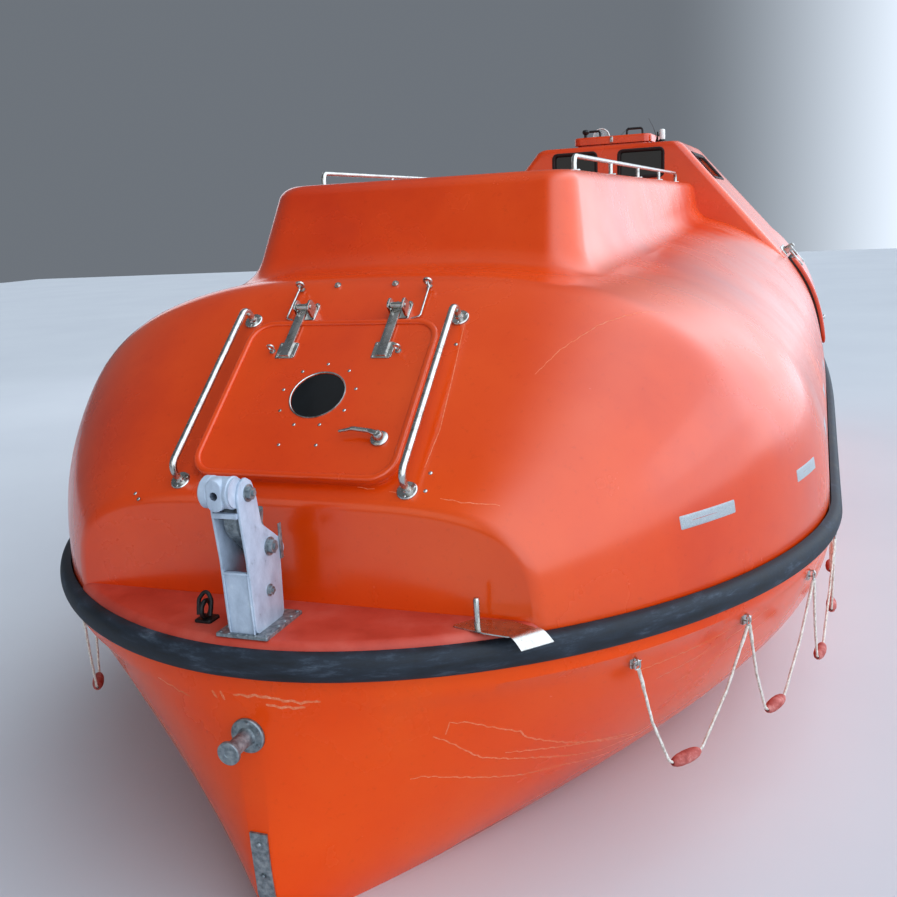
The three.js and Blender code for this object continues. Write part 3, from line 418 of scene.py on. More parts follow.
# Gelcoat with grit rolled in: redder and duller than the hull's. The grit, under 1 mm on the
# boat, is drawn at 4 mm, so that it shows.
deck_gelcoat = new_finish("deck_non_slip_gelcoat", "#b8341a", 0.5)
weather(deck_gelcoat, mottle(deck_gelcoat, 333.3, 6, 0.65),
        [(0.3, "#ab3b2a"), (0.5, "#be4a38"), (0.72, "#c86252")], gloss=(0.36, 0.6))
weather(deck_gelcoat, mottle(deck_gelcoat, 4.167, 2, 0.5), relief=(0.0006, 0.5))


def end_deck(name, front, back):
    """The deck's whole outline, moulded round at its edge, kept from front to back."""
    rings = []
    curve = [(z, 0.0) for z in (GUNWALE + GAP, 0.940, DECK - DECK_EDGE)]
    curve += [(DECK - DECK_EDGE * (1 - math.sin(t)), DECK_EDGE * (1 - math.cos(t)))
              for t in np.linspace(0, math.pi / 2, 8)[1:]]
    for z, inset in curve:
        level = level_at(GUNWALE)
        level.update(z=z, half=level["half"] - inset, bow=level["bow"] + inset,
                     stern=level["stern"] - inset)
        rings.append(waterline(level))
    deck = new_piece(name, *skin(rings))
    carve(deck, block("keep", (-FAR, front, 0), (FAR, back, FAR)), way="INTERSECT")
    return finished(deck, deck_gelcoat)


dress(end_deck("fore_deck_moulding", -FAR, BULKHEAD_FORE - GAP), "boat", "orange_grp",
      "foredeck")
dress(end_deck("after_deck_moulding", BULKHEAD_AFT + GAP, FAR), "boat", "orange_grp",
      "afterdeck")


# Cabin
# The upper moulding: an arched shell that slopes down to a bulkhead at each end, with a raised trunk
# along its roof and the wheelhouse on its after half. Foam-cored, 60 mm thick, in the hull's gelcoat,
# drawn a little deeper and redder as painted shade.
WALL, LEDGE = 0.060, 0.008  # the flange shows as a ledge outside the cabin
FORE_SLOPE, AFT_SLOPE = 0.83, 0.90
FORE_TOP, AFT_TOP = 1.345, 1.420
ROOF_LINES = ((FORE_TOP, FORE_SLOPE, BULKHEAD_FORE), (2.005, 0.04, -2.950),
              (AFT_TOP, -AFT_SLOPE, BULKHEAD_AFT))    # height, rise and start of each run
CORNER = 0.022
END_RADIUS = 0.020
JOINT_FORE, JOINT_AFT = -2.300, 1.376
# The hull's orange, drawn deeper and redder: painted shade for the cabin's shadier faces.
cabin_gelcoat = gelcoat("cabin_orange_gelcoat", "#c53905", "#d64706", "#e05512", 0.75)
flange_x, flange_y = half_waterline(level_at(GUNWALE), 400, 40, 400)


def half_breadth(y):
    return np.interp(y, flange_y, flange_x)


def roof_height(y):
    """Height of the arch on the centreline: three straight runs with soft corners."""
    runs = np.array([high + slope * (y - start) for high, slope, start in ROOF_LINES])
    lowest = runs.min()
    return lowest - CORNER * math.log(np.exp((lowest - runs) / CORNER).sum())


def roof_slope(y):
    return (roof_height(y + 0.005) - roof_height(y - 0.005)) / 0.010


def boxiness(y):
    """Power of the arch's curve, which has squarer shoulders towards each bulkhead."""
    return 2.4 + 1.9 * math.exp(-(y - BULKHEAD_FORE) / 0.7) \
        + 1.6 * math.exp((y - BULKHEAD_AFT) / 0.7)


def arch(y, inset, steps, base=GUNWALE + GAP):
    """One section of the cabin as a ring of points, port side first."""
    half = half_breadth(y) - LEDGE - inset
    high = roof_height(y) - inset * math.hypot(1, roof_slope(y)) - GUNWALE
    power = 2 / boxiness(y)
    ring = []
    for i in range(steps + 1):
        angle = math.pi * i / steps
        across = math.copysign(abs(math.cos(angle)) ** power, math.cos(angle))
        z = GUNWALE + high * max(math.sin(angle), 0) ** power
        ring.append((half * across, y, base if i in (0, steps) else max(z, base)))
    return ring


def cabin_side(y, z):
    """Half breadth of the cabin's skin at a place and a height."""
    share = min(max((z - GUNWALE) / (roof_height(y) - GUNWALE), 0), 1)
    power = boxiness(y)
    return (half_breadth(y) - LEDGE) * (1 - share ** power) ** (1 / power)


def cabin_top(x, y):
    """Height of the cabin's skin over a place in plan."""
    power = boxiness(y)
    across = min(abs(x) / (half_breadth(y) - LEDGE), 1)
    return GUNWALE + (roof_height(y) - GUNWALE) * (1 - across ** power) ** (1 / power)


def rounded_rectangle(width, height, radius, x=0.0, y=0.0, steps=8, straight=1):
    """Outline of a rectangle with round corners; its straight runs have straight parts."""
    outline = []
    for corner, (a, b) in enumerate(((1, -1), (1, 1), (-1, 1), (-1, -1))):
        cx, cy = x + a * (width / 2 - radius), y + b * (height / 2 - radius)
        for step in range(steps + 1):
            angle = math.pi / 2 * (corner - 1 + step / steps)
            outline.append((cx + radius * math.cos(angle), cy + radius * math.sin(angle)))
        along = ((0, 1), (-1, 0), (0, -1), (1, 0))[corner]
        run = (height, width)[corner % 2] - 2 * radius
        last = outline[-1]
        for part in range(1, straight):
            far = run * part / straight
            outline.append((last[0] + along[0] * far, last[1] + along[1] * far))
    return outline


def plan_ring(z, half, front, back, radius, steps=8, straight=1):
    """A level ring with round corners, from its half width and its two ends."""
    corner = min(radius, half - 0.001, (back - front) / 2 - 0.001)
    return [(x, y, z) for x, y in rounded_rectangle(
        2 * half, back - front, corner, 0, (front + back) / 2, steps, straight)]


end_turn = [(END_RADIUS * (1 - math.cos(t)), END_RADIUS * (1 - math.sin(t)))
            for t in np.linspace(0, math.pi / 2, 7)]
stations = [(BULKHEAD_FORE + along, inset) for along, inset in end_turn]
stations += [(y, 0.0) for y in np.concatenate([
    np.linspace(-3.96, -3.36, 13), np.linspace(-3.33, -3.09, 9), np.linspace(-3.04, 2.64, 80),
    np.linspace(2.69, 2.99, 11), np.linspace(3.05, 3.69, 13)])]
stations += [(BULKHEAD_AFT - along, inset) for along, inset in reversed(end_turn)]
cabin = new_piece("cabin", *skin([arch(y, inset, 96) for y, inset in stations]))

# Trunk: upright sides that lean in a little, a rounded top edge, and a soft cove where it
# grows out of the cabin roof. The wall is known at two heights, and straight between them.
TRUNK_LOW = {"z": 2.060, "half": 0.712, "front": -2.885, "radius": 0.140}
TRUNK_HIGH = {"z": 2.290, "half": 0.672, "front": -2.765, "radius": 0.120}
TRUNK_TOP, TRUNK_EDGE, TRUNK_BACK, COVE = 2.358, 0.050, 1.500, 0.100
WALL_LOW, WALL_HIGH = 1.900, 2.300


def trunk_ring(z, inset=0.0, back=TRUNK_BACK):
    """The trunk's wall at one height, or a ring that lies inside it."""
    share = (z - TRUNK_LOW["z"]) / (TRUNK_HIGH["z"] - TRUNK_LOW["z"])
    half, front, radius = (TRUNK_LOW[k] + share * (TRUNK_HIGH[k] - TRUNK_LOW[k])
                           for k in ("half", "front", "radius"))
    return plan_ring(z, half - inset, front + inset, back, radius, 12, 48)


trunk_rings = [trunk_ring(TRUNK_TOP - TRUNK_EDGE * (1 - math.sin(t)),
                          TRUNK_EDGE * (1 - math.cos(t)))
               for t in np.linspace(math.pi / 2, 0, 9)]
low_wall, high_wall = np.array(trunk_ring(WALL_LOW)), np.array(trunk_ring(WALL_HIGH))
rise = (high_wall - low_wall) / (WALL_HIGH - WALL_LOW)
foot = low_wall.copy()
for _ in range(6):          # each round brings the foot nearer to the roof's skin
    level = np.array([cabin_top(x, y) for x, y, _ in foot])
    foot = low_wall + (level - WALL_LOW)[:, None] * rise
along = np.roll(foot, -1, 0) - np.roll(foot, 1, 0)
outward = np.stack([along[:, 1], -along[:, 0], np.zeros(len(foot))], 1)
outward /= np.linalg.norm(outward, axis=1)[:, None]
toe = foot + outward * COVE
toe[:, 2] = [cabin_top(x, y) - 0.0006 for x, y, _ in toe]
top_of_cove = foot + rise * COVE
for t in np.linspace(0, 1, 11):
    trunk_rings.append((1 - t) ** 2 * top_of_cove + 2 * t * (1 - t) * foot + t ** 2 * toe)
trunk_rings += [toe - (0, 0, 0.025), foot - (0, 0, 0.045)]
trunk = new_piece("trunk_moulding", *skin(trunk_rings))

# Wheelhouse: sides that lean in steeply, an upright front and a raked back.
WHEELHOUSE_FOOT = {"z": 1.600, "half": 1.290, "front": 1.376, "back": 3.190}
WHEELHOUSE_LOW = {"z": 1.773, "half": 1.338, "front": 1.384, "back": 3.110}
WHEELHOUSE_HIGH = {"z": 2.600, "half": 0.621, "front": 1.424, "back": 2.740}
ROOF, ROOF_EDGE, WHEELHOUSE_CORNER = 2.680, 0.034, 0.060


def wheelhouse_ring(z, inset=0.0, across=None):
    """The wheelhouse's wall at one height; across is the inset of its sides."""
    share = (z - WHEELHOUSE_LOW["z"]) / (WHEELHOUSE_HIGH["z"] - WHEELHOUSE_LOW["z"])
    half, front, back = (WHEELHOUSE_LOW[k] + share * (WHEELHOUSE_HIGH[k] - WHEELHOUSE_LOW[k])
                         for k in ("half", "front", "back"))
    return plan_ring(z, half - (inset if across is None else across), front + inset,
                     back - inset * 1.1, WHEELHOUSE_CORNER, 10, 10)


def wheelhouse_foot(inset=0.0, across=0.0):
    """The lowest ring, inside the cabin, where the walls flare less."""
    z, half, front, back = WHEELHOUSE_FOOT.values()
    return plan_ring(z, half - across, front + inset, back - inset, WHEELHOUSE_CORNER, 10, 10)


wheelhouse_rings = [wheelhouse_foot()]
wheelhouse_rings += [wheelhouse_ring(z) for z in np.linspace(
    WHEELHOUSE_LOW["z"], ROOF - ROOF_EDGE, 14)]
wheelhouse_rings += [wheelhouse_ring(ROOF - ROOF_EDGE * (1 - math.sin(t)),
                                     ROOF_EDGE * (1 - math.cos(t)))
                     for t in np.linspace(0, math.pi / 2, 7)[1:]]
wheelhouse = new_piece("wheelhouse_moulding", *skin(wheelhouse_rings))


# Openings: a hatch in each sloping end, a door in each side, one hatch in the roof, and
# the windows of the wheelhouse. Each is smaller than its lid by the rim that the lid meets.
RIM = 0.060
BOW_HATCH_UP, AFT_HATCH_UP = 0.410, 0.440    # from the bulkhead up the slope
HATCH = {"width": 0.740, "high": 0.690, "corner": 0.095}
DOOR = {"low": 1.075, "high": 1.745, "front": 1.680, "back": 2.420, "corner": 0.090}
ROOF_HATCH = {"width": 0.620, "front": 1.610, "back": 2.190, "corner": 0.060}
PANE_CORNER = 0.026


def face_matrix(origin, up, normal):
    """Places a flat piece on a face: its x runs across, y up the face and z outward."""
    up, normal = Vector(up).normalized(), Vector(normal).normalized()
    across = up.cross(normal)
    turned = Matrix((across, up, normal)).transposed().to_4x4()
    return Matrix.Translation(origin) @ turned


def slope_face(bulkhead, top, slope, up, way):
    """The face of a hatch, up a slope from its bulkhead; way is 1 at the bow, -1 astern."""
    inboard = up / math.hypot(1, slope)
    return face_matrix((0, bulkhead + way * inboard, top + slope * inboard), (0, way, slope),
                       (0, -way * slope, 1))


def slab(name, outline, low, high, place=Matrix.Identity(4), edge=0.0, material=None):
    """A plate with the given outline, rounded off along its upper edge."""
    rings = [[(x, y, low) for x, y in outline]]
    if edge:
        centre = np.mean(outline, axis=0)
        corners = np.array(outline)
        along = np.roll(corners, -1, 0) - np.roll(corners, 1, 0)
        out = np.stack([along[:, 1], -along[:, 0]], 1)
        out /= np.linalg.norm(out, axis=1)[:, None]
        if ((corners - centre) * out).sum() < 0:
            out = -out
        for t in np.linspace(0, math.pi / 2, 6):
            inset, z = edge * (1 - math.cos(t)), high - edge * (1 - math.sin(t))
            rings.append([(x, y, z) for x, y in corners - out * inset])
    else:
        rings.append([(x, y, high) for x, y in outline])
    piece = new_piece(name, *skin(rings), material)
    piece.data.transform(place)
    return piece


bow_face = slope_face(BULKHEAD_FORE, FORE_TOP, FORE_SLOPE, BOW_HATCH_UP, 1)
aft_face = slope_face(BULKHEAD_AFT, AFT_TOP, AFT_SLOPE, AFT_HATCH_UP, -1)
across_boat = Matrix(((0, 0, 1, 0), (1, 0, 0, 0), (0, 1, 0, 0), (0, 0, 0, 1)))
up_front = Matrix(((1, 0, 0, 0), (0, 0, -1, 0), (0, 1, 0, 0), (0, 0, 0, 1)))
door_centre = ((DOOR["front"] + DOOR["back"]) / 2, (DOOR["low"] + DOOR["high"]) / 2)
WINDOWS = {                 # the wall, its pane's two ends, its low and high edge, the cut
    "front_port": (up_front, 0.095, 0.425, 2.430, 2.625, -1.600, -1.300),
    "front_starboard": (up_front, -0.425, -0.095, 2.430, 2.625, -1.600, -1.300),
    "back": (up_front, -0.300, 0.300, 2.420, 2.590, -3.000, -2.560),
    "side_port": (across_boat, 1.560, 2.330, 2.400, 2.580, 0.480, 1.000),
    "side_starboard": (across_boat, 1.560, 2.330, 2.400, 2.580, -1.000, -0.480)}


def hatch_outline(shrink, steps=10):
    return rounded_rectangle(HATCH["width"] - 2 * shrink, HATCH["high"] - 2 * shrink,
                             HATCH["corner"] - shrink, steps=steps)


def door_outline(shrink, straight=12):
    return rounded_rectangle(DOOR["back"] - DOOR["front"] - 2 * shrink,
                             DOOR["high"] - DOOR["low"] - 2 * shrink,
                             max(DOOR["corner"] - shrink, 0.012), *door_centre, 10, straight)


def roof_outline(shrink):
    return rounded_rectangle(ROOF_HATCH["width"] - 2 * shrink,
                             ROOF_HATCH["back"] - ROOF_HATCH["front"] - 2 * shrink,
                             ROOF_HATCH["corner"] - shrink / 2, 0,
                             (ROOF_HATCH["front"] + ROOF_HATCH["back"]) / 2)


def hollows():
    """What is cut out of every cabin moulding: the room inside and its doorways."""
    room = new_piece("room", *skin([arch(y, WALL, 40, GUNWALE - 0.040) for y in (
        *np.linspace(-3.960, -3.340, 9), *np.linspace(-3.280, -3.060, 7),
        *np.linspace(-2.900, 2.600, 24), *np.linspace(2.700, 2.960, 6),
        *np.linspace(3.100, 3.690, 6))]))
    headroom = new_piece("headroom", *skin([
        trunk_ring(z, WALL, TRUNK_BACK + WALL) for z in (1.750, 1.950, 2.298)]))
    helm = new_piece("helm", *skin([wheelhouse_foot(WALL, WALL * 1.33)] + [
        wheelhouse_ring(z, WALL, WALL * 1.33) for z in (1.773, 2.200, 2.620)]))
    doors = [slab("doorway", door_outline(RIM), low, high, across_boat)
             for low, high in ((1.0, 1.8), (-1.8, -1.0))]
    return [room, headroom, helm, *doors]


carve(cabin, *hollows(), *[slab("hatchway", hatch_outline(RIM), -0.2, 0.08, face)
                           for face in (bow_face, aft_face)])
carve(trunk, *hollows())
window_cuts = []
for place, first, last, low, high, near, far in WINDOWS.values():
    outline = rounded_rectangle(last - first, high - low, PANE_CORNER, (first + last) / 2,
                                (low + high) / 2)
    window_cuts.append(slab("window_cut", outline, near, far, place))
carve(wheelhouse, *hollows(), *window_cuts,
      slab("roof_hole", roof_outline(RIM), ROOF - 0.2, ROOF + 0.2))

for name, node, low, high in (
        ("cabin_fore_moulding", "canopy_fore", -FAR, JOINT_FORE),
        ("cabin_mid_moulding", "canopy_mid", JOINT_FORE, JOINT_AFT),
        ("cabin_aft_moulding", "canopy_aft", JOINT_AFT, FAR)):
    part = bpy.data.objects.new(name, cabin.data.copy())
    scene.collection.objects.link(part)
    carve(part, block("panel", (-FAR, low, 0), (FAR, high, FAR)), way="INTERSECT")
    dress(finished(part, cabin_gelcoat), "boat", "orange_grp", node)
bpy.data.objects.remove(cabin)
dress(finished(trunk, cabin_gelcoat), "boat", "orange_grp")
dress(finished(wheelhouse, cabin_gelcoat), "boat", "orange_grp", "wheelhouse")


# Steel fittings
# Hinges, rails and levers are polished stainless steel: mirror-like but for fine rubbing
# marks, and a little tea staining where salt water dries. Bolts and screws are of it too.
EAR_THICK = 0.008
stainless = new_finish("polished_stainless", "#c9c8c3", 0.16, {"Metallic": 1.0})
weather(stainless, mottle(stainless, 33.33, 6, 0.7),
        [(0.28, "#8d8172"), (0.42, "#bcbbb6"), (0.7, "#d6d6d3")])
weather(stainless, mottle(stainless, 11.11, 5), gloss=(0.12, 0.32))
weather(stainless, mottle(stainless, 3.125, 3, 0.6, (1, 1, 0.15)), relief=(0.0003, 0.25))


def turn_corner(before, corner, after, bend, steps):
    """Points of a round bend that takes the place of a corner."""
    before, after = before - corner, after - corner
    half = before.angle(after) / 2
    if half > 1.56:
        return [corner]
    reach = min(bend / math.tan(half), 0.48 * before.length, 0.48 * after.length)
    before.normalize()
    after.normalize()
    centre = corner + (before + after).normalized() * (reach / math.cos(half))
    start, stop = corner + before * reach - centre, corner + after * reach - centre
    whole = start.angle(stop)
    return [centre + (start * math.sin((1 - s) * whole) + stop * math.sin(s * whole))
            / math.sin(whole) for s in np.linspace(0, 1, steps + 1)]


def bent(corners, bend, steps=7, closed=False):
    """A line between corners, round at each; closed for an outline."""
    corners = [Vector(c) for c in corners]
    count = len(corners)
    path = [] if closed else [corners[0]]
    for i in range(0 if closed else 1, count if closed else count - 1):
        path += turn_corner(corners[i - 1], corners[i], corners[(i + 1) % count], bend, steps)
    return path if closed else path + [corners[-1]]


def tube(name, path, radius, sides=16, place=Matrix.Identity(4), material=None, taper=None):
    """A round bar along a path. taper gives a share of the radius for each point."""
    path = [Vector(p) for p in path]
    side, rings = None, []
    for i, centre in enumerate(path):
        along = (path[min(i + 1, len(path) - 1)] - path[max(i - 1, 0)]).normalized()
        side = along.orthogonal() if side is None else side
        side = (side - along * side.dot(along)).normalized()
        across = along.cross(side)
        r = radius * (taper[i] if taper is not None else 1)
        rings.append([centre + side * (r * math.cos(t)) + across * (r * math.sin(t))
                      for t in np.linspace(0, 2 * math.pi, sides, endpoint=False)])
    piece = new_piece(name, *skin(rings), material)
    piece.data.transform(place)
    return piece


def standing(place, along):
    """Places a turned piece with its axis along a direction."""
    return Matrix.Translation(place) @ Vector(along).to_track_quat("Z", "Y").to_matrix().to_4x4()


def turned(name, profile, place=Matrix.Identity(4), sides=32, material=None, ringed=False):
    """A turned piece: its profile is radius and height about its own upright axis."""
    rings = [[(max(r, 1e-5) * math.cos(t), max(r, 1e-5) * math.sin(t), z)
              for t in np.linspace(0, 2 * math.pi, sides, endpoint=False)] for r, z in profile]
    piece = new_piece(name, *skin(rings, ringed=ringed), material)
    piece.data.transform(place)
    return piece


def soften(piece, width, segments=2):
    """Rounds the sharp edges of a piece."""
    step = piece.modifiers.new("soften", "BEVEL")
    step.width, step.segments, step.limit_method = width, segments, "ANGLE"
    step.angle_limit = math.radians(40)
    step.use_clamp_overlap = True
    return finished(settle(piece))


def bar(name, low, high, edge=0.0015, place=Matrix.Identity(4), material=None):
    """A flat bar with eased edges."""
    piece = soften(block(name, low, high), edge)
    piece.data.transform(place)
    return finished(piece, material)


def crosswise(x, half, y, z):
    """Both ends of something that runs across, with x as its middle."""
    return [(x - half, y, z), (x + half, y, z)]


def barrel_and_pin(x, pivot, barrel, pin):
    """The rolled end of a strap, and the pin in it. Each is a half length and a radius."""
    return [tube("barrel", crosswise(x, barrel[0], *pivot), barrel[1], 24, material=stainless),
            tube("pin", crosswise(x, pin[0], *pivot), pin[1], 20, material=stainless)]


def hinge_ears(outline, x, spread, pivot, bore, edge=0.0012):
    """Two ears side by side, with bores at the pivot in which a pin turns."""
    ears = []
    for middle in (x - spread, x + spread):
        ear = slab("ear", outline, middle - EAR_THICK / 2, middle + EAR_THICK / 2, across_boat)
        carve(soften(ear, edge), tube("bore", crosswise(x, 0.060, *pivot), bore, 20))
        ears.append(finished(ear, stainless))
    return ears


def combine(name, *pieces, place=Matrix.Identity(4)):
    """Puts finished meshes together in one piece, each with its own material."""
    form, slots = bmesh.new(), []
    for piece in pieces:
        first = len(form.faces)
        form.from_mesh(piece.data)
        form.faces.ensure_lookup_table()
        for face in form.faces[first:]:
            material = piece.data.materials[face.material_index]
            if material not in slots:
                slots.append(material)
            face.material_index = slots.index(material)
    mesh = bpy.data.meshes.new(name)
    form.to_mesh(mesh)
    form.free()
    mesh.transform(place)
    for material in slots:
        mesh.materials.append(material)
    for piece in pieces:
        bpy.data.objects.remove(piece)
    whole = bpy.data.objects.new(name, mesh)
    scene.collection.objects.link(whole)
    return whole


def fastener_tree(name, sides, height):
    """Sets a fastener on every point, turned to the point's own facing. A washer lies under
    a head with flats; with no sides given the head is a low dome."""
    tree = bpy.data.node_groups.new(name, "GeometryNodeTree")
    for label, kind, way in (
            ("Points", "NodeSocketGeometry", "INPUT"), ("Head", "NodeSocketFloat", "INPUT"),
            ("Finish", "NodeSocketMaterial", "INPUT"), ("Mesh", "NodeSocketGeometry", "OUTPUT")):
        tree.interface.new_socket(label, in_out=way, socket_type=kind)
    add, join = tree.nodes.new, tree.links.new
    given, result = add("NodeGroupInput"), add("NodeGroupOutput")
    facing, aim = add("GeometryNodeInputNamedAttribute"), add("FunctionNodeAlignRotationToVector")
    facing.data_type, aim.axis = "FLOAT_VECTOR", "Z"
    facing.inputs["Name"].default_value = "facing"
    pile, scatter = add("GeometryNodeJoinGeometry"), add("GeometryNodeInstanceOnPoints")
    parts = ((sides, 0.74, 2 * height), (20, 1.0, 0.24), (10, 0.34, 2 * height + 0.5)) if sides \
        else ((14, 1.0, 0.16),)
    for count, radius, depth in parts:
        drum = add("GeometryNodeMeshCylinder")
        drum.inputs["Vertices"].default_value = count
        drum.inputs["Radius"].default_value = radius
        drum.inputs["Depth"].default_value = depth
        join(drum.outputs["Mesh"], pile.inputs[0])
    if not sides:
        dome, squash = add("GeometryNodeMeshUVSphere"), add("GeometryNodeTransform")
        dome.inputs["Segments"].default_value, dome.inputs["Rings"].default_value = 14, 8
        dome.inputs["Radius"].default_value = 0.9
        squash.inputs["Scale"].default_value = (1, 1, height)
        join(dome.outputs["Mesh"], squash.inputs["Geometry"])
        join(squash.outputs[0], pile.inputs[0])
    plain, paint = add("GeometryNodeRealizeInstances"), add("GeometryNodeSetMaterial")
    join(facing.outputs["Attribute"], aim.inputs["Vector"])
    join(aim.outputs["Rotation"], scatter.inputs["Rotation"])
    join(given.outputs["Head"], scatter.inputs["Scale"])
    join(given.outputs["Points"], scatter.inputs["Points"])
    join(pile.outputs[0], scatter.inputs["Instance"])
    join(scatter.outputs[0], plain.inputs[0])
    join(plain.outputs[0], paint.inputs[0])
    join(given.outputs["Finish"], paint.inputs["Material"])
    join(paint.outputs[0], result.inputs[0])
    return tree


domed_screw = fastener_tree("domed_screw", 0, 0.55)
hex_bolt = fastener_tree("hex_bolt", 6, 0.62)


def fasten(name, tree, spots, head, material=stainless):
    """Screws or bolts at the given spots; a spot is a place and the way it faces."""
    mesh = bpy.data.meshes.new(name)
    mesh.from_pydata([tuple(place) for place, _ in spots], [], [])
    facing = mesh.attributes.new("facing", "FLOAT_VECTOR", "POINT")
    facing.data.foreach_set("vector", [c for _, way in spots for c in way])
    piece = bpy.data.objects.new(name, mesh)
    scene.collection.objects.link(piece)
    step = piece.modifiers.new("fasteners", "NODES")
    step.node_group = tree
    wanted = {"Head": head, "Finish": material}
    for item in tree.interface.items_tree:
        if item.name in wanted:
            step[item.identifier] = wanted[item.name]
    return finished(settle(piece))


def spots_on(face, places, height):
    """Spots on a flat face, from places across it and up it."""
    out = face.to_3x3() @ Vector((0, 0, 1))
    return [(face @ Vector((x, y, height)), out) for x, y in places]


# Hatches
# Each end has a man-sized hatch: a moulded lid with a round port, closing on a dark rubber
# seal. It hangs on two stainless straps, whose pins turn in brackets bolted to the cabin.
SIDES = (("port", 1), ("starboard", -1))
LID_LOW, LID_HIGH, LID_BEAD, BEAD_WIDE = 0.0143, 0.0345, 0.008, 0.024
COAMING_HIGH = 0.0125       # so that the seal stands proud of it, under the lid
PORT, PORT_SCREW_RING = 0.096, 0.137
HATCH_PIVOT, PIN_BORE = (0.398, 0.052), 0.0086    # up the face, and out from it
STRAP_OUT, STRAP_MIDDLE = 0.185, 0.200
LEVER_PLACE, LID_EYE_OUT, LID_EYE_UP = (0.280, -0.180), 0.242, 0.196
LOWER_LID_SCREWS = [(-0.070, -0.215), (0.065, -0.212)]
HOLD_OPEN_OUT, HOLD_OPEN_UP = 0.257, 0.543
STUDS = [(-0.117, 0.565), (0.117, 0.565)]
BOW_SLOPE_SCREWS = ((0.466, -0.271), (0.466, -0.338), (-0.573, -0.385), (-0.548, -0.410),
                    (0.423, 0.266))
PIVOT_UP, PIVOT_OUT = HATCH_PIVOT

# Extruded black rubber: matt, with a fine grain.
seal_rubber = new_finish("black_seal_rubber", "#2a1512", 0.7)
weather(seal_rubber, mottle(seal_rubber, 8.333, 4), [(0.3, "#1d0f0e"), (0.7, "#33201c")],
        relief=(0.0004, 0.4))

# Tinted safety glass: a hard gloss, dulled here and there by smears of dried salt.
dark_glass = new_finish("dark_safety_glass", "#07090a", 0.05, {"Coat Weight": 0.4, "IOR": 1.52})
weather(dark_glass, mottle(dark_glass, 111.1, 6, 0.7), [(0.3, "#050607"), (0.75, "#121619")],
        gloss=(0.04, 0.2))


def rim(name, outline, outer, inner, low, high, edge, place, material):
    """An upstanding rim between two shrinks of an outline, with its upper edges eased."""
    rings = [[(x, y, z) for x, y in outline(shrink)] for shrink, z in (
        (outer, low), (outer, high - edge), (outer + edge, high), (inner - edge, high),
        (inner, high - edge), (inner, low))]
    piece = new_piece(name, *skin(rings, ringed=True), material)
    piece.data.transform(place)
    return piece


def strap(x):
    """Steel strap with a folded foot, in the hatch's own frame."""
    top = LID_HIGH + GAP
    return [
        slab("foot", rounded_rectangle(0.070, 0.074, 0.005, x - 0.003, STRAP_MIDDLE), top,
             top + 0.003, edge=0.001, material=stainless),
        slab("fold", rounded_rectangle(0.026, 0.066, 0.004, x + 0.025, STRAP_MIDDLE), top,
             top + 0.005, edge=0.0015, material=stainless),
        bar("arm", (x - 0.018, 0.168, top + 0.002), (x + 0.018, PIVOT_UP - 0.008, top + 0.0125),
            0.0015, material=stainless),
        tube("barrel", crosswise(x, 0.019, *HATCH_PIVOT), 0.012, 24, material=stainless),
        tube("pin", [(x + along, *HATCH_PIVOT) for along in (-0.0355, -0.0345, 0.0345, 0.0355)],
             0.008, 20, material=stainless, taper=[0.7, 1, 1, 0.7])]


def bracket(x):
    """Foot plate with two ears, in the hatch's own frame; the pin turns in the ears."""
    foot = slab("foot", rounded_rectangle(0.068, 0.082, 0.008, x, PIVOT_UP + 0.021), -0.015,
                0.006, edge=0.002, material=stainless)
    ear = bent([(PIVOT_UP + 0.040, 0.004), (PIVOT_UP + 0.026, PIVOT_OUT + 0.018),
                (PIVOT_UP - 0.018, PIVOT_OUT + 0.018), (PIVOT_UP - 0.018, 0.004)], 0.017,
               closed=True)
    return [foot, *hinge_ears(ear, x, 0.027, HATCH_PIVOT, PIN_BORE)]


def lever(x, y):
    """Turning lever on its boss, in the hatch's own frame."""
    top = LID_HIGH + GAP
    boss = turned("boss", [(0, top), (0.030, top), (0.030, top + 0.005), (0.026, top + 0.009),
                           (0.018, top + 0.011), (0.016, top + 0.026), (0.012, top + 0.032),
                           (0, top + 0.034)], Matrix.Translation((x, y, 0)), material=stainless)
    path = bent([(x, y, top + 0.026), (x - 0.030, y + 0.010, top + 0.028),
                 (x - 0.090, y + 0.017, top + 0.029), (x - 0.137, y + 0.008, top + 0.024)], 0.05)
    grip = tube("grip", path, 0.0085, 14, material=stainless,
                taper=np.interp(np.arange(len(path)), (0, 3, len(path) - 3, len(path) - 1),
                                (1.25, 1.0, 0.85, 0.55)))
    return [boss, grip]


def eye_bolt(place, along, reach=0.016, thick=0.0042):
    """Small round eye on a stud."""
    loop = [(reach * math.cos(t), 0, 2.1 * reach + reach * math.sin(t))
            for t in np.linspace(-math.pi / 2, 1.5 * math.pi, 25)]
    seat = standing(place, along)
    return [tube("eye", loop, thick, 10, seat, stainless),
            turned("stud", [(0, 0), (0.011, 0), (0.011, 0.003), (0.006, 0.004), (0.006, 1.2 * reach),
                            (0, 1.2 * reach)], seat, 16, stainless)]


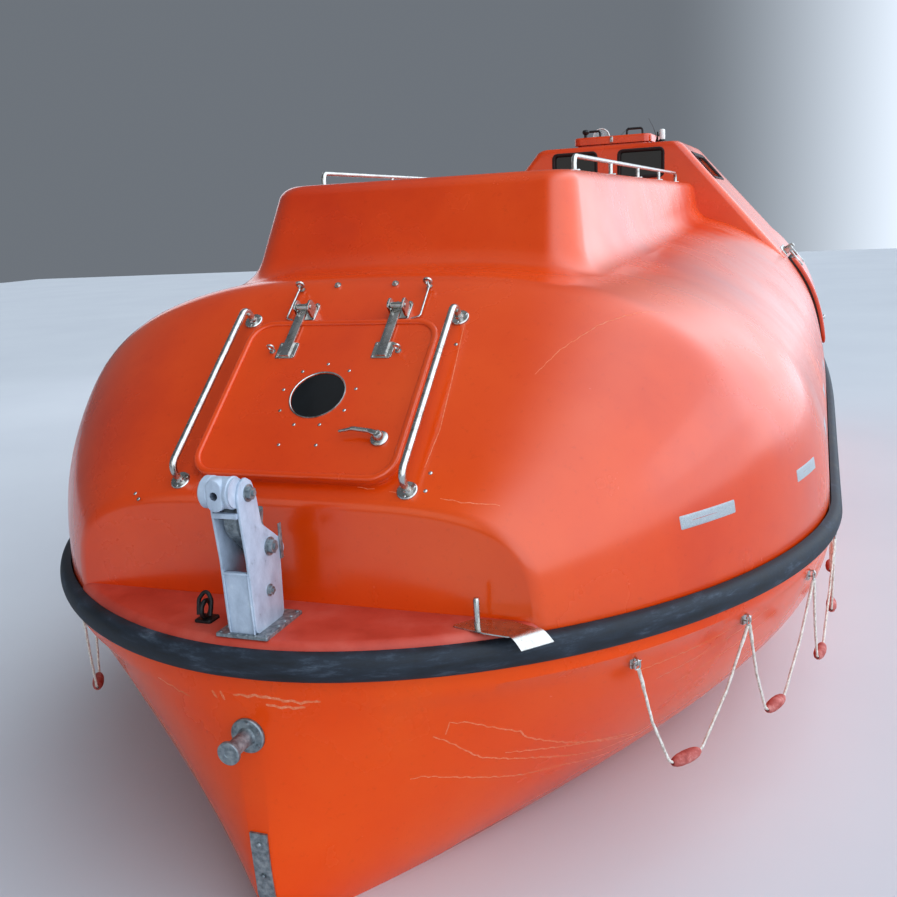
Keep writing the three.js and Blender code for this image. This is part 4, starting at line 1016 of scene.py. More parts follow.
def hatch(end, face):
    """One end's hatch with all that belongs to it; the aft one is turned end for end."""
    body, mirrored = f"{end}_hatch_lid", 1 if end == "bow" else -1
    dress(rim(f"{end}_hatch_coaming", hatch_outline, 0.006, RIM, -0.045, COAMING_HIGH, 0.004,
              face, cabin_gelcoat), "boat", "orange_grp")
    dress(rim(f"{end}_hatch_seal", hatch_outline, 0.012, 0.030, -0.006, 0.0140, 0.003, face,
              seal_rubber), "boat", "fender_rubber")
    swell = [(BEAD_WIDE / 2 * (1 - math.cos(t)), LID_HIGH + LID_BEAD * math.sin(t) ** 0.8)
             for t in np.linspace(0, math.pi, 13)]
    profile = [(0.002, LID_LOW), (0, LID_LOW + 0.003), *swell, (0.034, LID_HIGH - 0.0004)]
    lid = new_piece(f"{end}_hatch_moulding", *skin([
        [(x, y, z) for x, y in hatch_outline(shrink, 14)] for shrink, z in profile]))
    lid.data.transform(face)
    carve(lid, turned("port_hole", [(PORT, 0), (PORT, 0.06)], face, 64))
    bead = turned("port_bead", [
        (PORT + across, LID_HIGH + up) for across, up in (
            (0.0005, -0.008), (0.0005, 0.001), (0.0025, 0.003), (0.0060, 0.002), (0.007, -0.008))],
        face, 64, stainless, ringed=True)
    dress(combine(f"{end}_hatch_panel", finished(lid, cabin_gelcoat), bead), body, "orange_grp",
          f"{end}_hatch")
    around = [(PORT_SCREW_RING * math.cos(t), PORT_SCREW_RING * math.sin(t))
              for t in np.linspace(0.2, 0.2 + 2 * math.pi, 9, endpoint=False)]
    dress(fasten(f"{end}_port_screws", domed_screw,
                 spots_on(face, around + LOWER_LID_SCREWS, LID_HIGH), 0.0062), body, "stainless")
    dress(combine(f"{end}_lever", *lever(*LEVER_PLACE), place=face), body, "stainless",
          f"{end}_hatch_lever")
    eyes = [part for x in (-LID_EYE_OUT, LID_EYE_OUT)
            for part in eye_bolt((x, LID_EYE_UP, LID_HIGH), (0, 0, 1), 0.011)]
    dress(combine(f"{end}_lid_eyes", *eyes, place=face), body, "stainless")
    foot_screws, plate_bolts = [], []
    for where, side in SIDES:
        x = side * mirrored * STRAP_OUT
        dress(combine(f"{end}_strap_{where}", *strap(x), place=face), body, "stainless",
              f"{end}_hatch_strap_{where}")
        dress(combine(f"{end}_bracket_{where}", *bracket(x), place=face), "boat", "stainless",
              f"{end}_hatch_bracket_{where}")
        foot_screws += [(x - 0.031, 0.170), (x - 0.031, 0.226), (x + 0.030, 0.175),
                        (x + 0.030, 0.225)]
        plate_bolts += [(x - 0.024, PIVOT_UP + 0.054), (x + 0.024, PIVOT_UP + 0.054)]
    dress(fasten(f"{end}_strap_screws", domed_screw, spots_on(face, foot_screws, LID_HIGH + 0.004),
                 0.0045), body, "stainless")
    dress(fasten(f"{end}_bracket_bolts", hex_bolt, spots_on(face, plate_bolts, 0.006), 0.0095),
          "boat", "stainless")
    finished(nodes[f"{end}_hatch_window"], dark_glass, 40)

    # Wire hooks that hold the lid open, each in its eye, and the studs between them
    hold = []
    for way in (-1, 1):
        hold += eye_bolt((way * HOLD_OPEN_OUT, HOLD_OPEN_UP, -0.002), (0, 0, 1), 0.013, 0.0055)
        wire = bent([(way * HOLD_OPEN_OUT, 0.545, 0.026), (way * 0.262, 0.530, 0.012),
                     (way * 0.264, 0.385, 0.010), (way * 0.232, 0.372, 0.010)], 0.012)
        hold.append(tube("wire_hook", wire, 0.0035, 10, material=stainless))
    dress(combine(f"{end}_hold_open_hooks", *hold, place=face), "boat", "stainless")
    dress(fasten(f"{end}_studs", hex_bolt, spots_on(face, STUDS, -0.003), 0.013), "boat",
          "stainless")


hatch("bow", bow_face)
hatch("aft", aft_face)
spots = []
for x, up in BOW_SLOPE_SCREWS:
    y = (bow_face @ Vector((x, up, 0))).y
    slope = (cabin_top(x + 0.01, y) - cabin_top(x - 0.01, y)) / 0.02
    spots.append(((x, y, cabin_top(x, y)), Vector((-slope, -FORE_SLOPE, 1)).normalized()))
dress(fasten("bow_slope_screws", domed_screw, spots, 0.007), "boat", "stainless")


# Side doors
# A curved door in each side, moulded to the shape of the cabin, hinged along its top edge
# on two straps and closed by a turning lever. It shuts on a rim with the same dark seal.
DOOR_LID, DOOR_LID_EDGE = 0.042, 0.012
DOOR_PIVOT, DOOR_BORE, DOOR_STRAP_OUT = (0.052, 0.056), 0.0088, 0.240
HINGE_UP, HINGE_OUT = DOOR_PIVOT
DOOR_LEVER_UP = 0.170
DOOR_STRAP_SCREWS = (-0.095, -0.055, -0.015)
DOOR_HINGE_BOLTS = (-0.180, -0.090, 0, 0.090, 0.180)


def cabin_skin(y, z, out):
    """Half breadth of a skin that lies a little outside the cabin's own."""
    share = (z - GUNWALE) / (roof_height(y) + out * math.hypot(1, roof_slope(y)) - GUNWALE)
    power = boxiness(y)
    return (half_breadth(y) - LEDGE + out) * (1 - share ** power) ** (1 / power)


def side_moulding(name, side, outline, steps, material, ringed=False):
    """A piece that follows the cabin's side. Each step is a shrink of its outline and a
    height over the skin."""
    rings = [[(side * cabin_skin(y, z, out), y, z) for y, z in outline(shrink)]
             for shrink, out in steps]
    return new_piece(name, *skin(rings, ringed=ringed), material)


def door_ring(shrink):
    return door_outline(shrink, 14)


inward = (0.06, 0.12, 0.18, 0.24, 0.30)
edge_turn = [(DOOR_LID_EDGE * (1 - math.cos(t)), DOOR_LID - DOOR_LID_EDGE * (1 - math.sin(t)))
             for t in np.linspace(0, math.pi / 2, 6)]
leaf_steps = [*[(s, LID_LOW) for s in reversed(inward)], (0.0, LID_LOW), *edge_turn,
              *[(s, DOOR_LID) for s in inward]]
for where, side in SIDES:
    leaf = side_moulding(f"side_door_leaf_{where}_moulding", side, door_ring, leaf_steps,
                         cabin_gelcoat)
    dress(side_moulding(f"side_door_rim_{where}", side, door_ring, [
        (0.020, -0.020), (0.020, COAMING_HIGH), (RIM, COAMING_HIGH), (RIM, -0.020)],
        cabin_gelcoat, True), "boat", "orange_grp")
    dress(side_moulding(f"side_door_seal_{where}", side, door_ring, [
        (-0.007, -0.006), (-0.007, 0.0138), (0.030, 0.0138), (0.030, -0.006)], seal_rubber, True),
        "boat", "fender_rubber")
    y, top = door_centre[0], DOOR["high"]
    rise = Vector((cabin_side(y, top + 0.060) - cabin_side(y, top - 0.040), 0, 0.1))
    rise.normalize()
    door_face = face_matrix((side * cabin_side(y, top), y, top), (side * rise.x, 0, rise.z),
                            (side * rise.z, 0, -rise.x))
    straps, plate = [], [bar("plate", (-0.300, HINGE_UP - 0.022, -0.020),
                             (0.300, HINGE_UP + 0.058, 0.005), 0.002, material=stainless)]
    ear = bent([(HINGE_UP + 0.034, 0.0), (HINGE_UP + 0.020, HINGE_OUT + 0.016),
                (HINGE_UP - 0.018, HINGE_OUT + 0.016), (HINGE_UP - 0.018, 0.0)], 0.016, closed=True)
    for u in (-DOOR_STRAP_OUT, DOOR_STRAP_OUT):
        straps += [bar("arm", (u - 0.020, -0.110, DOOR_LID - 0.012),
                       (u + 0.020, HINGE_UP - 0.006, DOOR_LID + 0.006), 0.002, material=stainless),
                   *barrel_and_pin(u, DOOR_PIVOT, (0.020, 0.013), (0.035, 0.007))]
        plate += hinge_ears(ear, u, 0.028, DOOR_PIVOT, DOOR_BORE)
    lever_z = DOOR["low"] + DOOR_LEVER_UP
    lever_x = cabin_skin(y, lever_z, DOOR_LID)
    seat = standing((side * lever_x, y, lever_z), (side, 0, 0.25))
    handle = [turned("boss", [(0, -0.004), (0.028, -0.004), (0.028, 0.004), (0.016, 0.010),
                              (0.014, 0.022), (0, 0.024)], seat, material=stainless),
              tube("grip", bent([(side * (lever_x + 0.016), y, lever_z + 0.005),
                                 (side * (lever_x + 0.019), y + 0.050, lever_z + 0.010),
                                 (side * (lever_x + 0.014), y + 0.130, lever_z + 0.004)], 0.08),
                   0.008, 14, material=stainless)]
    body = f"side_door_leaf_{where}"
    dress(combine(f"side_door_panel_{where}", leaf,
                  combine("straps", *straps, place=door_face)), body, "orange_grp",
          f"side_door_{where}")
    dress(combine(f"side_door_hinge_{where}", *plate, place=door_face), "boat", "stainless",
          f"side_door_bracket_{where}")
    dress(combine(f"side_door_lever_{where}", *handle), body, "stainless",
          f"side_door_handle_{where}")
    dress(fasten(f"side_door_strap_screws_{where}", domed_screw, spots_on(door_face, [
        (u, v) for u in (-DOOR_STRAP_OUT, DOOR_STRAP_OUT) for v in DOOR_STRAP_SCREWS],
        DOOR_LID + 0.006), 0.006), body, "stainless")
    dress(fasten(f"side_door_hinge_bolts_{where}", hex_bolt, spots_on(door_face, [
        (u, HINGE_UP + 0.030) for u in DOOR_HINGE_BOLTS], 0.005), 0.011), "boat", "stainless")


# Roof hatch
# The helmsman's hatch: a moulded lid hinged along its after edge, with two black grab
# handles, a round knob and a catch in front, closing over a coaming in the wheelhouse roof.
ROOF_COAMING, ROOF_LID, ROOF_HINGE = 0.022, 0.082, 2.225
ROOF_BORE, ROOF_STRAP_OUT = 0.0076, 0.190
GRIP_OUT, GRIP_PLACE, GRIP_REACH = 0.170, 1.700, 0.062
KNOB_PLACE = (-0.215, 1.650)
CATCH_PLACE, CATCH_HIGH = 1.606, 0.052
hinge_at = ROOF + 0.040

# Painted steel: satin black, worn to brown at its chips.
black_steel = new_finish("black_painted_steel", "#1c1a19", 0.45)
weather(black_steel, mottle(black_steel, 14.29, 6, 0.7),
        [(0.3, "#3a2a20"), (0.4, "#1b1a1a"), (0.7, "#262424")], gloss=(0.32, 0.6),
        relief=(0.0004, 0.3))

dress(rim("roof_hatch_coaming", roof_outline, 0.020, RIM, ROOF - 0.030,
          ROOF + ROOF_COAMING - 0.0015, 0.004, Matrix.Identity(4), cabin_gelcoat),
      "boat", "orange_grp")
roof_parts = [slab("lid", roof_outline(0), ROOF + ROOF_COAMING + GAP, ROOF + ROOF_LID,
                   edge=0.016, material=cabin_gelcoat)]
hinge_parts = [bar("plate", (-0.240, ROOF_HINGE - 0.014, ROOF + GAP),
                   (0.240, ROOF_HINGE + 0.040, ROOF + 0.008), 0.002, material=stainless)]
ear = bent([(ROOF_HINGE + 0.016, ROOF + 0.006), (ROOF_HINGE + 0.013, hinge_at + 0.014),
            (ROOF_HINGE - 0.013, hinge_at + 0.014), (ROOF_HINGE - 0.013, ROOF + 0.006)], 0.011,
           closed=True)
for x in (-ROOF_STRAP_OUT, ROOF_STRAP_OUT):
    roof_parts += [bar("arm", (x - 0.018, ROOF_HATCH["back"] - 0.022, hinge_at - 0.006),
                       (x + 0.018, ROOF_HINGE - 0.005, hinge_at + 0.002), 0.0015,
                       material=stainless),
                   *barrel_and_pin(x, (ROOF_HINGE, hinge_at), (0.018, 0.012), (0.032, 0.007))]
    hinge_parts += hinge_ears(ear, x, 0.026, (ROOF_HINGE, hinge_at), ROOF_BORE, 0.001)
catch = [bar("tongue", (-0.012, ROOF_HATCH["front"] - 0.006, ROOF + 0.030),
             (0.012, ROOF_HATCH["front"], ROOF + 0.075), 0.001, material=stainless),
         tube("catch_pin", [(0, CATCH_PLACE, ROOF + CATCH_HIGH),
                            (0, CATCH_PLACE - 0.014, ROOF + CATCH_HIGH)], 0.006, 14,
              material=stainless)]
dress(combine("roof_hatch_panel", *roof_parts, *catch), "roof_hatch_lid", "orange_grp",
      "roof_hatch")
dress(combine("roof_hatch_hinge_plate", *hinge_parts), "boat", "stainless", "roof_hatch_hinge")
dress(fasten("roof_hinge_bolts", hex_bolt, [((x, ROOF_HINGE + 0.027, ROOF + 0.008), (0, 0, 1))
                                            for x in np.linspace(-0.215, 0.215, 6)], 0.009),
      "boat", "stainless")
for where, side in SIDES:
    top, ends = ROOF + ROOF_LID, (side * GRIP_OUT - GRIP_REACH, side * GRIP_OUT + GRIP_REACH)
    corners = [(ends[0], top + GAP), (ends[0], top + 0.048), (ends[1], top + 0.048),
               (ends[1], top + GAP)]
    grip = tube("grip", bent([(x, GRIP_PLACE, z) for x, z in corners], 0.018), 0.009, 16,
                material=black_steel)
    feet = [turned("foot", [(0, GAP), (0.018, GAP), (0.017, 0.004), (0, 0.005)],
                   Matrix.Translation((end, GRIP_PLACE, top)), 20, black_steel) for end in ends]
    dress(combine(f"roof_hatch_grip_{where}", grip, *feet), "roof_hatch_lid", "black_steel",
          f"roof_hatch_handle_{where}")
dress(turned("roof_hatch_knob", [(0, GAP), (0.014, GAP), (0.011, 0.012), (0.011, 0.022),
                                 (0.024, 0.030), (0.029, 0.044), (0.024, 0.058), (0, 0.063)],
             Matrix.Translation((*KNOB_PLACE, ROOF + ROOF_LID)), 32, black_steel),
      "roof_hatch_lid", "black_steel")


# Windows
# Dark toughened glass in black rubber sections, which clamp round the edge of each opening
# in the wheelhouse. The panes do not open.
RUBBER_SECTION = (
    (-0.017, -0.001), (-0.017, 0.003), (-0.012, 0.0065), (-0.004, 0.0065), (0.001, 0.002),
    (0.005, 0.001), (0.008, -0.004), (0.008, -0.012), (0.001, -0.012))


def wall_place(wall, along, z, out):
    """A place on, or out from, one wall of the wheelhouse."""
    low, high = WHEELHOUSE_LOW, WHEELHOUSE_HIGH
    edge = {"front": "front", "back": "back"}.get(wall, "half")
    lean = (high[edge] - low[edge]) / (high["z"] - low["z"])
    reach = low[edge] + lean * (z - low["z"])
    run = math.hypot(1, lean)
    if wall == "front":
        return along, reach - out / run, z + out * lean / run
    if wall == "back":
        return along, reach + out / run, z - out * lean / run
    way = 1 if wall == "side_port" else -1
    return way * (reach + out / run), along, z - out * lean / run


for name, (_, first, last, low_edge, high_edge, _, _) in WINDOWS.items():
    wall = name if name.startswith("side") else name.split("_")[0]
    rings = []
    for shrink, out in RUBBER_SECTION:
        outline = rounded_rectangle(last - first - 2 * shrink, high_edge - low_edge - 2 * shrink,
                                    PANE_CORNER - shrink, (first + last) / 2,
                                    (low_edge + high_edge) / 2)
        rings.append([wall_place(wall, along, z, out) for along, z in outline])
    dress(new_piece(f"window_rubber_{name}", *skin(rings, ringed=True), seal_rubber), "boat",
          "fender_rubber")
    finished(nodes[f"window_{name}"], dark_glass, 40)


# Handrails
# Polished stainless tube, bent at both ends and welded to round feet, which are screwed to
# the cabin: a long one at each side of the bow hatch, and one on posts along the trunk.
BOW_RAIL_OUT, BOW_RAIL_ENDS, BOW_RAIL_HIGH = 0.408, (-0.348, 0.385), 0.072
TRUNK_RAIL_OUT, TRUNK_RAIL_HIGH = 0.590, 0.062
RAIL_POSTS = [-2.377 + 0.818 * k for k in range(5)]
FOOT_SCREW_TURNS = (0.5, 2.6, 4.7)
for where, side in SIDES:
    x, (near, far) = side * BOW_RAIL_OUT, BOW_RAIL_ENDS
    rail = [tube("rail", bent([(x, near, -0.008), (x, near, BOW_RAIL_HIGH), (x, far, BOW_RAIL_HIGH),
                               (x, far, -0.008)], 0.042, 9), 0.0125, 20, material=stainless)]
    rail += [turned("foot", [(0, -0.012), (0.034, -0.012), (0.034, 0.000), (0.031, 0.003),
                             (0.016, 0.005), (0.0135, 0.012), (0, 0.012)],
                    Matrix.Translation((x, up, 0)), 28, stainless) for up in BOW_RAIL_ENDS]
    dress(combine(f"bow_handrail_tube_{where}", *rail, place=bow_face), "boat", "stainless",
          f"bow_handrail_{where}")
    dress(fasten(f"bow_handrail_screws_{where}", domed_screw, spots_on(bow_face, [
        (x + 0.025 * math.cos(t), up + 0.025 * math.sin(t)) for up in BOW_RAIL_ENDS
        for t in FOOT_SCREW_TURNS], 0.003), 0.0055), "boat", "stainless")
for where, side in SIDES:
    x, foot, high = side * TRUNK_RAIL_OUT, TRUNK_TOP + GAP, TRUNK_TOP + TRUNK_RAIL_HIGH
    rail = [tube("rail", bent([(x, RAIL_POSTS[0], foot), (x, RAIL_POSTS[0], high),
                               (x, RAIL_POSTS[-1], high), (x, RAIL_POSTS[-1], foot)], 0.032, 8),
                 0.011, 16, material=stainless)]
    for y in RAIL_POSTS:
        if y not in (RAIL_POSTS[0], RAIL_POSTS[-1]):
            rail.append(tube("post", [(x, y, foot), (x, y, high)], 0.010, 14, material=stainless))
        rail.append(turned("foot", [(0, 0), (0.026, 0), (0.026, 0.004), (0.013, 0.007), (0, 0.008)],
                           Matrix.Translation((x, y, foot)), 24, stainless))
    dress(combine(f"roof_rail_tube_{where}", *rail), "boat", "stainless", f"roof_rail_{where}")
    dress(fasten(f"roof_rail_screws_{where}", domed_screw, [
        ((x + 0.020 * math.cos(t), y + 0.020 * math.sin(t), foot + 0.005), (0, 0, 1))
        for y in RAIL_POSTS for t in FOOT_SCREW_TURNS], 0.0045), "boat", "stainless")


# Lifting hooks
# One at each end, on a bolted foot. Two painted side plates carry a heavy barrel on top and
# the pin of a forged hook, a galvanised disc with a throat, which swings open to release.
HOOK_FOOT, CHEEK_OUT, CHEEK_IN = DECK + GAP, 0.048, 0.040
BETWEEN = 0.0402            # half width of what runs from cheek to cheek
HOOK_PIN, HOOK_TOP, HOOK_LOW = (-4.214, 1.259), (-4.303, 1.449), (-4.235, 1.127)
BARREL, LUG_OUT = (-4.352, 1.462), -0.005
JAW_HALF, JAW_MIDDLE, JAW_BORE = 0.025, (-4.262, 1.368), 0.0158
CHEEK = [(-4.329, HOOK_FOOT + 0.008), (-4.340, 1.252), (-4.358, 1.392), (-4.361, 1.449),
         (-4.345, 1.484), (-4.311, 1.499), (-4.280, 1.480), (-4.262, 1.440), (-4.244, 1.338),
         (-4.140, 1.259), (-4.122, 1.222), (-4.154, 1.205), (-4.162, HOOK_FOOT + 0.008)]
end_for_end = Matrix.Rotation(math.pi, 4, "Z")

# Pale grey marine paint over steel: a low gloss, chalked and grimed in small patches.
hook_paint = new_finish("pale_grey_marine_paint", "#aebac8", 0.38, {"Coat Weight": 0.15})
weather(hook_paint, mottle(hook_paint, 38.46, 8, 0.72, (1, 1, 0.6)),
        [(0.27, "#77818a"), (0.38, "#a4b0bf"), (0.62, "#b6c2d0"), (0.74, "#c6cfd8")],
        gloss=(0.3, 0.55))
weather(hook_paint, mottle(hook_paint, 22.22, 4), relief=(0.0007, 0.4))


def lug_hole():
    """Cuts the hole that runs through the lug into the barrel."""
    return turned("lug_hole", [(0.0125, -0.06), (0.0125, 0.06)],
                  standing((LUG_OUT, -4.400, BARREL[1]), (0, -1, 0)), 24)


def hook_frame():
    """Cheeks, foot, cover and barrel of the fore hook, with the pins between the cheeks."""
    cheek = bent(CHEEK, 0.022, 4, closed=True)
    parts = [finished(soften(slab("cheek", cheek, low, high, across_boat), 0.0016), hook_paint)
             for low, high in ((CHEEK_IN, CHEEK_OUT), (-CHEEK_OUT, -CHEEK_IN))]
    parts.append(slab("foot", rounded_rectangle(0.176, 0.222, 0.006, 0, -4.231), HOOK_FOOT,
                      HOOK_FOOT + 0.010, edge=0.002, material=galvanised))
    cover = slab("cover", [(-4.326, HOOK_FOOT + 0.008), (-4.336, 1.210), (-4.326, 1.210),
                           (-4.316, HOOK_FOOT + 0.008)], -BETWEEN, BETWEEN, across_boat)
    weld = [tube("weld", [(way * 0.0405, -4.330, HOOK_FOOT + 0.012), (way * 0.0405, -4.338, 1.206)],
                 0.003, 8, material=hook_paint) for way in (-1, 1)]
    parts += [finished(cover, hook_paint), *weld,
              bar("sill", (-0.0405, -4.340, 1.206), (0.0405, -4.322, 1.214), 0.002,
                  material=hook_paint),
              bar("bridge", (-0.0405, -4.365, 1.386), (0.0405, -4.349, 1.402), 0.002,
                  material=hook_paint)]
    barrel = turned("barrel", [(0, -0.062), (0.041, -0.062), (0.048, -0.055), (0.048, -0.034),
                               (0.0465, -0.032), (0.0465, 0.024), (0.048, 0.026), (0.048, 0.032),
                               (0.044, 0.034), (0.044, BETWEEN), (0, BETWEEN)],
                    standing((0, *BARREL), (1, 0, 0)), 48)
    lug = slab("lug", rounded_rectangle(0.050, 0.094, 0.024, LUG_OUT, BARREL[1]), -BARREL[0],
               4.3995, up_front, 0.004)
    parts += [finished(carve(part, lug_hole()), hook_paint) for part in (barrel, lug)]
    parts += [tube("pivot_pin", crosswise(0, BETWEEN, *HOOK_PIN), 0.015, 24, material=stainless),
              tube("spacer", crosswise(0, BETWEEN, *HOOK_LOW), 0.009, 20, material=stainless),
              bar("trip_lever", (0.0485, -4.158, 1.200), (0.0525, -4.142, 1.312), 0.001,
                  material=galvanised)]
    return parts


def hook_arm():
    """The jaw of the fore hook: disc, boss and shank forged in one, with throat and bore."""
    half, past = JAW_HALF, JAW_HALF + 0.010
    disc = turned("hook_disc", [(0, -half), (0.070, -half), (0.076, -half + 0.006),
                                (0.076, half - 0.006), (0.070, half), (0, half)],
                  standing((0, *JAW_MIDDLE), (1, 0, 0)), 64)
    boss = turned("boss", [(0, -half), (0.036, -half), (0.036, half), (0, half)],
                  standing((0, *HOOK_PIN), (1, 0, 0)), 40)
    shank = slab("shank", [(-4.320, 1.330), (-4.225, 1.225), (-4.180, 1.262), (-4.200, 1.330)],
                 -half + 0.0002, half - 0.0002, across_boat)
    carve(disc, boss, shank, way="UNION")
    throat = tube("throat", crosswise(0, past, -4.240, 1.384), 0.030, 32)
    mouth = slab("mouth", [(-4.262, 1.406), (-4.180, 1.520), (-4.080, 1.420), (-4.228, 1.356)],
                 -past, past, across_boat)
    bore = tube("bore", crosswise(0, past, *HOOK_PIN), JAW_BORE, 32)
    return finished(carve(disc, throat, mouth, bore), galvanised, 30)


for end, place in (("fore", Matrix.Identity(4)), ("aft", end_for_end)):
    dress(combine(f"{end}_hook_housing", *hook_frame(), place=place), "boat", "hook_paint",
          f"{end}_hook_frame")
    dress(combine(f"{end}_hook_jaw", hook_arm(), place=place), f"{end}_hook_arm", "galvanised",
          f"{end}_hook")
    heads = [fasten("bolts", hex_bolt, [((way * CHEEK_OUT, y, z), (way, 0, 0)) for way in (-1, 1)],
                    size, galvanised)
             for (y, z), size in ((HOOK_PIN, 0.029), (HOOK_LOW, 0.019), (HOOK_TOP, 0.026))]
    foot_bolts = [((way * 0.076, y, HOOK_FOOT + 0.010), (0, 0, 1)) for way in (-1, 1)
                  for y in np.linspace(-4.328, -4.134, 6)]
    foot_bolts += [((x, -4.3365, HOOK_FOOT + 0.010), (0, 0, 1))
                   for x in (-0.045, -0.015, 0.015, 0.045)]
    heads.append(fasten("foot_bolts", domed_screw, foot_bolts, 0.0065, galvanised))
    dress(combine(f"{end}_hook_bolts", *heads, place=place), "boat", "galvanised")


# Bow fittings
# A galvanised bollard through the stem, a black mooring eye and a thin stainless chafe
# plate at the edge of the fore deck. The stem band is held by countersunk bolts.
BOLLARD_UP, BOLLARD_BOLT_RING = 0.705, 0.043
PAINTER_EYE = (-0.185, -4.235)
CHAFE_PIN = (0.658, -4.105)
CHAFE_EDGE = ((0.577, -4.120), (0.633, -4.054), (0.746, -4.044), (0.838, -4.080),
              (0.770, -4.160), (0.690, -4.150))
LIP_DROP = 0.030
BOLLARD_PROFILES = (        # plate, stem and head, as radius and distance from the hull
    [(0, GAP), (0.056, GAP), (0.056, 0.008), (0.052, 0.0115), (0.030, 0.0125), (0, 0.0125)],
    [(0, 0.011), (0.031, 0.011), (0.0265, 0.018), (0.025, 0.024), (0.025, 0.106), (0, 0.106)],
    [(0, 0.104), (0.034, 0.104), (0.0365, 0.1065), (0.0365, 0.1155), (0.033, 0.118),
     (0.012, 0.118), (0.010, 0.1165), (0, 0.1165)])
bollard_seat = standing((0, -HALF_LENGTH, BOLLARD_UP), (0, -1, 0))
dress(combine("stem_bollard", *[turned("turning", profile, bollard_seat, 40, galvanised)
                                for profile in BOLLARD_PROFILES]),
      "boat", "galvanised", "bollard")
dress(fasten("stem_bollard_bolts", hex_bolt, [
    ((BOLLARD_BOLT_RING * math.cos(t), -HALF_LENGTH - 0.0115,
      BOLLARD_UP + BOLLARD_BOLT_RING * math.sin(t)), (0, -1, 0))
    for t in np.linspace(0.4, 0.4 + 2 * math.pi, 6, endpoint=False)], 0.0085, galvanised),
    "boat", "galvanised")
band_places = [(0, level_at(z)["bow"] - 0.0085, z) for z in np.arange(0.335, -0.20, -0.115)]
dress(fasten("stem_band_bolts", domed_screw, [(p, (0, -1, -0.15)) for p in band_places], 0.0095,
             galvanised), "boat", "galvanised")

(eye_x, eye_y), deck_top = PAINTER_EYE, DECK + GAP
ring = [(0, 0.026 * math.cos(t), 0.026 * math.sin(t)) for t in np.linspace(0, 2 * math.pi, 41)]
bow_shackle = bent([(-0.021, 0, 0.000), (-0.023, 0.012, 0.046), (0, 0.024, 0.078),
                    (0.023, 0.012, 0.046), (0.021, 0, 0.000)], 0.022, 6)
eye_seat = Matrix.Translation((eye_x, eye_y, deck_top + 0.036))
dress(combine("painter_ring", slab("foot", rounded_rectangle(0.060, 0.060, 0.010, eye_x, eye_y),
                                   deck_top, deck_top + 0.008, edge=0.002, material=black_steel),
              tube("ring", ring, 0.0078, 14, eye_seat, black_steel),
              tube("shackle", bow_shackle, 0.0065, 12, Matrix.Translation((
                  eye_x, eye_y - 0.012, deck_top + 0.020)), black_steel)), "boat", "black_steel",
      "painter_eye")
dress(fasten("painter_ring_screws", domed_screw, [
    ((eye_x + a, eye_y + b, deck_top + 0.008), (0, 0, 1)) for a in (-0.022, 0.022)
    for b in (-0.022, 0.022)], 0.005, black_steel), "boat", "black_steel")

plate_edge = bent(CHAFE_EDGE, 0.012, 4, closed=True)
lip_rings = []
for share in np.linspace(0, 1, 6):
    drop = LIP_DROP * (1 - math.cos(share * math.pi / 2))
    along = [(0.768 + 0.046 * share, -4.158 - 0.027 * share),
             (0.838 + 0.050 * share, -4.078 - 0.022 * share)]
    lip_rings.append([(x, y, deck_top + 0.0035 - drop + up) for up in (0, 0.002)
                      for x, y in (along if up else along[::-1])])
dress(combine("chafe_plate_sheet", slab("sheet", plate_edge, deck_top, deck_top + 0.004, edge=0.001,
                                        material=stainless),
              new_piece("lip", *skin(lip_rings), stainless),
              turned("pin", [(0, 0.003), (0.0095, 0.003), (0.0095, 0.086), (0.007, 0.092), (0, 0.092)],
                     Matrix.Translation((*CHAFE_PIN, deck_top)), 20, stainless)),
      "boat", "stainless", "chafe_plate")


# Lamps and aerials
# On the wheelhouse roof: a searchlight on a swivel post, a white beacon on a black foot and
# two thin whip aerials. Housings are moulded white plastic, a little yellowed by the sun.
LAMP_PLACE, BEACON_PLACE = (-0.230, 2.420), (0.395, 1.640)
POST_OUT = -0.036           # from the beacon's axis
WHIPS = ((-0.120, 2.380, 0.040), (0.350, 1.660, -0.022))    # place and lean

# Moulded white plastic: satin, yellowed in soft patches.
white_plastic = new_finish("moulded_white_plastic", "#dcdcd6", 0.35)
weather(white_plastic, mottle(white_plastic, 83.33, 5),
        [(0.3, "#cfcdc0"), (0.5, "#dedfda"), (0.7, "#e9eae6")], gloss=(0.28, 0.5))
weather(white_plastic, mottle(white_plastic, 5, 3), relief=(0.0003, 0.3))

# Pressed glass with level prisms 3 mm high. Its pale grey, lighter and darker in bands along the
# prisms, is painted reflection from a silvered bowl behind it, which is not built.
lamp_glass = new_finish("lamp_glass", "#c3ccd2", 0.06, {"Coat Weight": 0.6, "IOR": 1.50})
weather(lamp_glass, mottle(lamp_glass, 16.67, 2, 0.5, (1, 0.1, 6)),
        [(0.35, "#7d8a8c"), (0.65, "#c3cdcc")], relief=(0.0012, 0.6))

